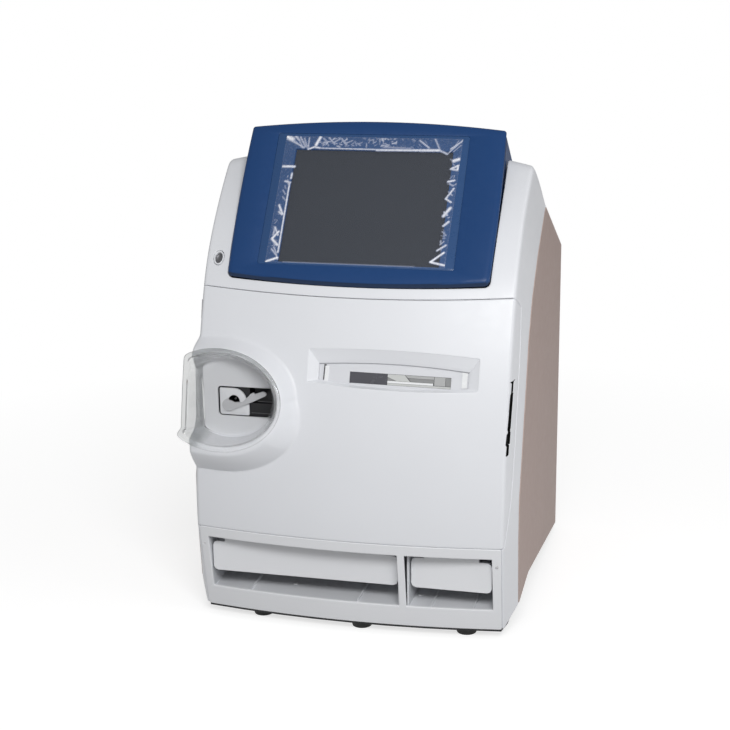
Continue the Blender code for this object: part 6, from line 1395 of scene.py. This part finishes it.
def make_port_face():
    """The white face round the sampling hole, with its raised ring."""
    loops = [reach_loop(on_port_face(shrink), y)
             for shrink, y in ((0.0, 26.1), (0.0, 24.4), (0.15, 24.1), (0.5, 23.95))]
    loops += [loop_oval(PORT_HOLE, (radius, radius), y, count=PORT_COUNT) for radius, y in (
        (8.3, 23.95), (8.0, 23.9), (6.6, 23.9), (6.2, 24.05), (6.1, 24.4), (6.1, 26.1))]
    make_piece("port_face", ring_stack(loops, closed=True), PORT_WHITE, "chassis",
               SLOTS["port_block"], ("port_block",), crease=35)


RIDGES = ((-101.0, 244.4), (-108.6, 231.4))
RIDGE_END_X, RIDGE_THICK_HALF = -80.0, 0.35


def make_housing_ridges():
    """Two thin ridges along the front of the needle housing."""
    for index, (left, z) in enumerate(RIDGES):
        loops = [[Vector((x, y, height)) for x, height in box_corners(
            left + shrink, z - RIDGE_THICK_HALF + shrink, RIDGE_END_X - shrink,
            z + RIDGE_THICK_HALF - shrink)] for shrink, y in ((0.0, 26.6), (0.0, 26.0), (0.1, 25.9))]
        make_piece("housing_ridge_" + str(index), ring_stack(loops, caps=True), RIDGE_GREY,
                   "chassis", "black_plastic", crease=30)


LEVER_HUB = (-132.5, 239.7)
LEVER_HUB_RADIUS = 6.6
LEVER_PIVOT = (-132.2, 235.2)
PROBE_CLEAR = 9.85
LEVER_EDGE = ((-129.4, 245.8), (-127.4, 244.8), (-125.2, 243.9), (-121.5, 243.5), (-118.6, 243.3),
              (-116.6, 243.9), (-114.0, 246.5), (-111.1, 249.4), (-108.2, 252.4), (-105.6, 254.4),
              (-104.2, 254.8), (-103.4, 254.3), (-103.3, 253.5), (-102.0, 253.6), (-98.0, 255.1),
              (-94.6, 256.3), (-92.8, 256.4), (-91.2, 255.7), (-90.2, 254.4), (-90.4, 252.9),
              (-91.6, 251.7), (-97.0, 249.0), (-103.0, 246.0), (-108.9, 243.1), (-115.0, 240.4),
              (-121.0, 237.9), (-126.6, 235.5), (-129.6, 233.9))


def clear_of_probe(x, z):
    """Keeps the lever's outline inside the arc that the probe passes as the lever turns."""
    ray = Vector((x - LEVER_PIVOT[0], z - LEVER_PIVOT[1]))
    bearing = math.degrees(math.atan2(ray.x, ray.y))
    if ray.length > PROBE_CLEAR and -0.5 < bearing < 40.0:
        ray = ray.normalized() * PROBE_CLEAR
    return LEVER_PIVOT[0] + ray.x, LEVER_PIVOT[1] + ray.y


def make_lever():
    """The flat lever over the sampling hole: a round hub and an arm with a finger rest."""
    loop = list(LEVER_EDGE)
    for step in range(23):
        turn = math.radians(-64.0 - 228.0 * step / 22)
        loop.append((LEVER_HUB[0] + LEVER_HUB_RADIUS * math.cos(turn),
                     LEVER_HUB[1] + LEVER_HUB_RADIUS * math.sin(turn)))
    loop = [clear_of_probe(x, z) for x, z in loop]
    bm = ring_stack([[Vector((x, y, z)) for x, z in loop] for y in (23.6, 22.5, 21.4)], caps=True)
    make_piece("lever_arm", bm, LEVER_GREY, "lever", SLOTS["sample_lever"], ("sample_lever",),
               crease=30, bevel=0.45)


# What shows behind the window: name, finish, depth of its face, outline in the window's axes

CHAMBERS = (
    ("chamber_dark", STRIP_DARK, 11.9, box_corners(-45.8, -9.4, -6.4, 1.8)),
    ("chamber_clear", CHAMBER_LIGHT, 12.1,
     ((-6.2, -1.2), (3.4, -4.8), (17.6, -4.8), (11.4, 1.8), (-6.2, 1.8))),
    ("chamber_wedge", CHAMBER_GREY, 12.1, ((-6.2, -4.8), (3.0, -4.8), (-6.2, -1.5))),
    ("chamber_top", CHAMBER_PALE, 12.0, ((15.0, -1.0), (42.2, -1.0), (42.2, 1.8), (12.0, 1.8))),
    ("chamber_mid", CHAMBER_GREY, 12.1, ((18.2, -4.8), (42.2, -4.8), (42.2, -1.2), (15.4, -1.2))),
    ("chamber_rail", CHAMBER_WHITE, 11.8, box_corners(-6.2, -7.2, 41.6, -5.0)),
    ("chamber_foot", CHAMBER_LIGHT, 12.1, box_corners(-6.2, -9.4, 59.8, -7.4)),
    ("chamber_end", CHAMBER_PALE, 11.9, box_corners(42.6, -7.1, 54.0, 1.8)),
    ("chamber_stop", CHAMBER_GREY, 12.0, box_corners(54.2, -7.1, 59.8, 1.8)),
    # window_slit_shade: a black sheet that paints the shade on the window's left inner wall.
    ("window_slit_shade", BLACK_PLASTIC, 11.1, ((-73.9, -8.2), (-72.9, -8.2), (-72.6, 6.4), (-70.8, 6.8),
                                          (-70.8, 7.6), (-73.5, 8.0))),
    ("window_step", CHAMBER_WHITE, 10.9, ((-72.5, -9.0), (-68.6, -9.4), (-68.2, 6.6), (-72.0, 6.6))),
    ("window_stop", CHAMBER_WHITE, 10.2, ((71.2, -8.0), (76.8, -7.8), (76.8, 7.8), (71.2, 8.4))),
)
CHAMBER_DEPTH = 1.0


def make_chambers():
    """Slim blocks behind the window's slot, and the stops at the ends of its opening."""
    for name, finish, face, outline in CHAMBERS:
        loops = [[WINDOW_AXES @ Vector((a, depth, c)) for a, c in outline]
                 for depth in (face + CHAMBER_DEPTH, face)]
        slot = "black_plastic" if finish in (STRIP_DARK, BLACK_PLASTIC) else "white_plastic"
        make_piece(name, ring_stack(loops, caps=True), finish, "door", slot, crease=20, bevel=0.12)


# CAD nodes that only need rounded edges: bevel width in millimetres and finish

ROUNDED = {
    "case_cover": (1.6, COVER_GREY), "screen_housing": (1.2, BEZEL_BLUE),
    "printer_lid": (0.8, BEZEL_BLUE), "rear_panel": (0.4, COVER_GREY),
    "base_plate": (0.8, BLACK_PLASTIC),
    "bay_flap_left": (0.7, BAY_WHITE_LIT), "bay_flap_right": (0.7, BAY_WHITE_LIT),
    "bay_tray_left": (0.6, LIGHT_GREY), "bay_tray_right": (0.6, LIGHT_GREY),
    "port_block": (0.4, BLACK_PLASTIC), "needle_housing": (0.5, BLACK_PLASTIC),
    "door_latch": (0.4, BLACK_PLASTIC), "lever_pin": (0.3, LEVER_GREY),
    "window_plate": (0.3, WINDOW_WHITE), "sample_bracket": (0.3, ZINC),
    "power_inlet": (0.4, BLACK_PLASTIC), "power_rocker": (0.4, BLACK_PLASTIC),
    "switch_body": (0.3, BLACK_PLASTIC), "data_ports": (0.3, BLACK_PLASTIC),
    "fan_frame": (0.6, BLACK_PLASTIC), "fan_rotor": (0.3, BLACK_PLASTIC),
    "pump_body": (0.8, BLACK_PLASTIC), "valve_manifold": (0.5, LIGHT_GREY),
    "sensor_block": (0.5, ALUMINIUM), "power_supply": (0.6, ZINC),
    "middle_deck": (0.3, ZINC), "chassis_wall": (0.3, ZINC), "main_board": (0.2, CIRCUIT),
}


def make_rounded():
    for node, (width, look) in ROUNDED.items():
        body = nodes[node]["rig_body"]
        make_piece(node + "_rounded", merged_copy(node), look, body, SLOTS[node], (node,), crease=30,
                   bevel=width)


# Build

make_door()
make_grip_lining()
make_shell()
make_button()
make_bay_frame()
make_screws()
make_studs()
make_bezel()
make_bezel_shade_band()
make_mask()
make_film()
make_guard()
make_port_face()
make_housing_ridges()
make_lever()
make_chambers()
make_rounded()


# Stage, light and camera

FLOOR_GLOW, FAR_GLOW = 0.69, 0.31
WORLD_LIGHT = 0.375


def stage_look(name):
    """Pale matt paper that keeps the object's shadow and turns plain white away from it."""
    look, tree, shader, where = blank_look(name)
    path = new_node(tree, "LightPath").outputs
    seen = math_node(tree, "MAXIMUM", path["Is Camera Ray"],
                     math_node(tree, "MAXIMUM", path["Is Glossy Ray"], path["Is Transmission Ray"]))
    far = math_node(tree, "MULTIPLY", ramp_node(tree, length_node(tree, where), 0.3, 0.95), seen)
    shown, worn = skin_nodes(tree, where, (0.50, 0.50, 0.50), 0.01, 0.0, 0.9)
    glow = math_node(tree, "ADD", math_node(tree, "MULTIPLY", seen, FLOOR_GLOW),
                     math_node(tree, "MULTIPLY", far, FAR_GLOW))
    feed(tree, shader, {"Base Color": mix_node(tree, far, shown, (0.0, 0.0, 0.0, 1.0)),
                        "Roughness": worn, "Specular IOR Level": 0.0,
                        "Emission Color": (1.0, 1.0, 1.0, 1.0), "Emission Strength": glow})
    return look


def make_stage():
    bm = bmesh.new()
    bmesh.ops.create_grid(bm, x_segments=24, y_segments=24, size=3.0)
    mesh = bpy.data.meshes.new("floor")
    bm.to_mesh(mesh)
    bm.free()
    mesh.materials.append(stage_look("floor_paper"))
    floor = add_object("floor", mesh)


def make_world():
    world = bpy.data.worlds.new("studio")
    world.use_nodes = True
    tree = world.node_tree
    path = new_node(tree, "LightPath").outputs
    seen = math_node(tree, "MAXIMUM", path["Is Camera Ray"], path["Is Transmission Ray"])
    feed(tree, tree.nodes["Background"], {
        "Strength": ramp_node(tree, seen, 0.0, 1.0, WORLD_LIGHT, 1.0),
        "Color": (1.0, 1.0, 1.0, 1.0)})
    bpy.context.scene.world = world


def make_lamp(name, place, target, size, power):
    data = bpy.data.lights.new(name, "AREA")
    data.shape = "RECTANGLE"
    data.size, data.size_y = size
    data.energy = power
    lamp = add_object(name, data)
    lamp.location = place
    lamp.rotation_euler = (Vector(target) - Vector(place)).to_track_quat("-Z", "Y").to_euler()


CAMERA_PLACE = (0.385189, -1.603053, 0.715670)
CAMERA_TURN = (14.125, 15.729, -0.783)
CAMERA_LENS, CAMERA_SENSOR = 75.25, 36.0


def make_camera():
    yaw, pitch, roll = (math.radians(value) for value in CAMERA_TURN)
    forward = Vector((-math.sin(yaw) * math.cos(pitch), math.cos(yaw) * math.cos(pitch),
                      -math.sin(pitch)))
    level = Vector((math.cos(yaw), math.sin(yaw), 0.0))
    upright = level.cross(forward)
    right = level * math.cos(roll) + upright * math.sin(roll)
    up = upright * math.cos(roll) - level * math.sin(roll)
    data = bpy.data.cameras.new("photo_camera")
    data.lens = CAMERA_LENS
    data.sensor_width = CAMERA_SENSOR
    camera = add_object("photo_camera", data)
    turn = Matrix((right, up, -forward)).transposed().to_4x4()
    camera.matrix_world = Matrix.Translation(CAMERA_PLACE) @ turn
    bpy.context.scene.camera = camera


make_stage()
make_world()
make_lamp("front_key", (0.36, -1.12, 0.95), (0.0, -0.1, 0.25), (0.55, 0.35), 9.9)
make_lamp("side_fill", (1.6, -0.35, 0.55), (0.0, 0.0, 0.25), (0.9, 0.9), 4.0)
make_camera()
bpy.context.scene.view_settings.view_transform = "Standard"
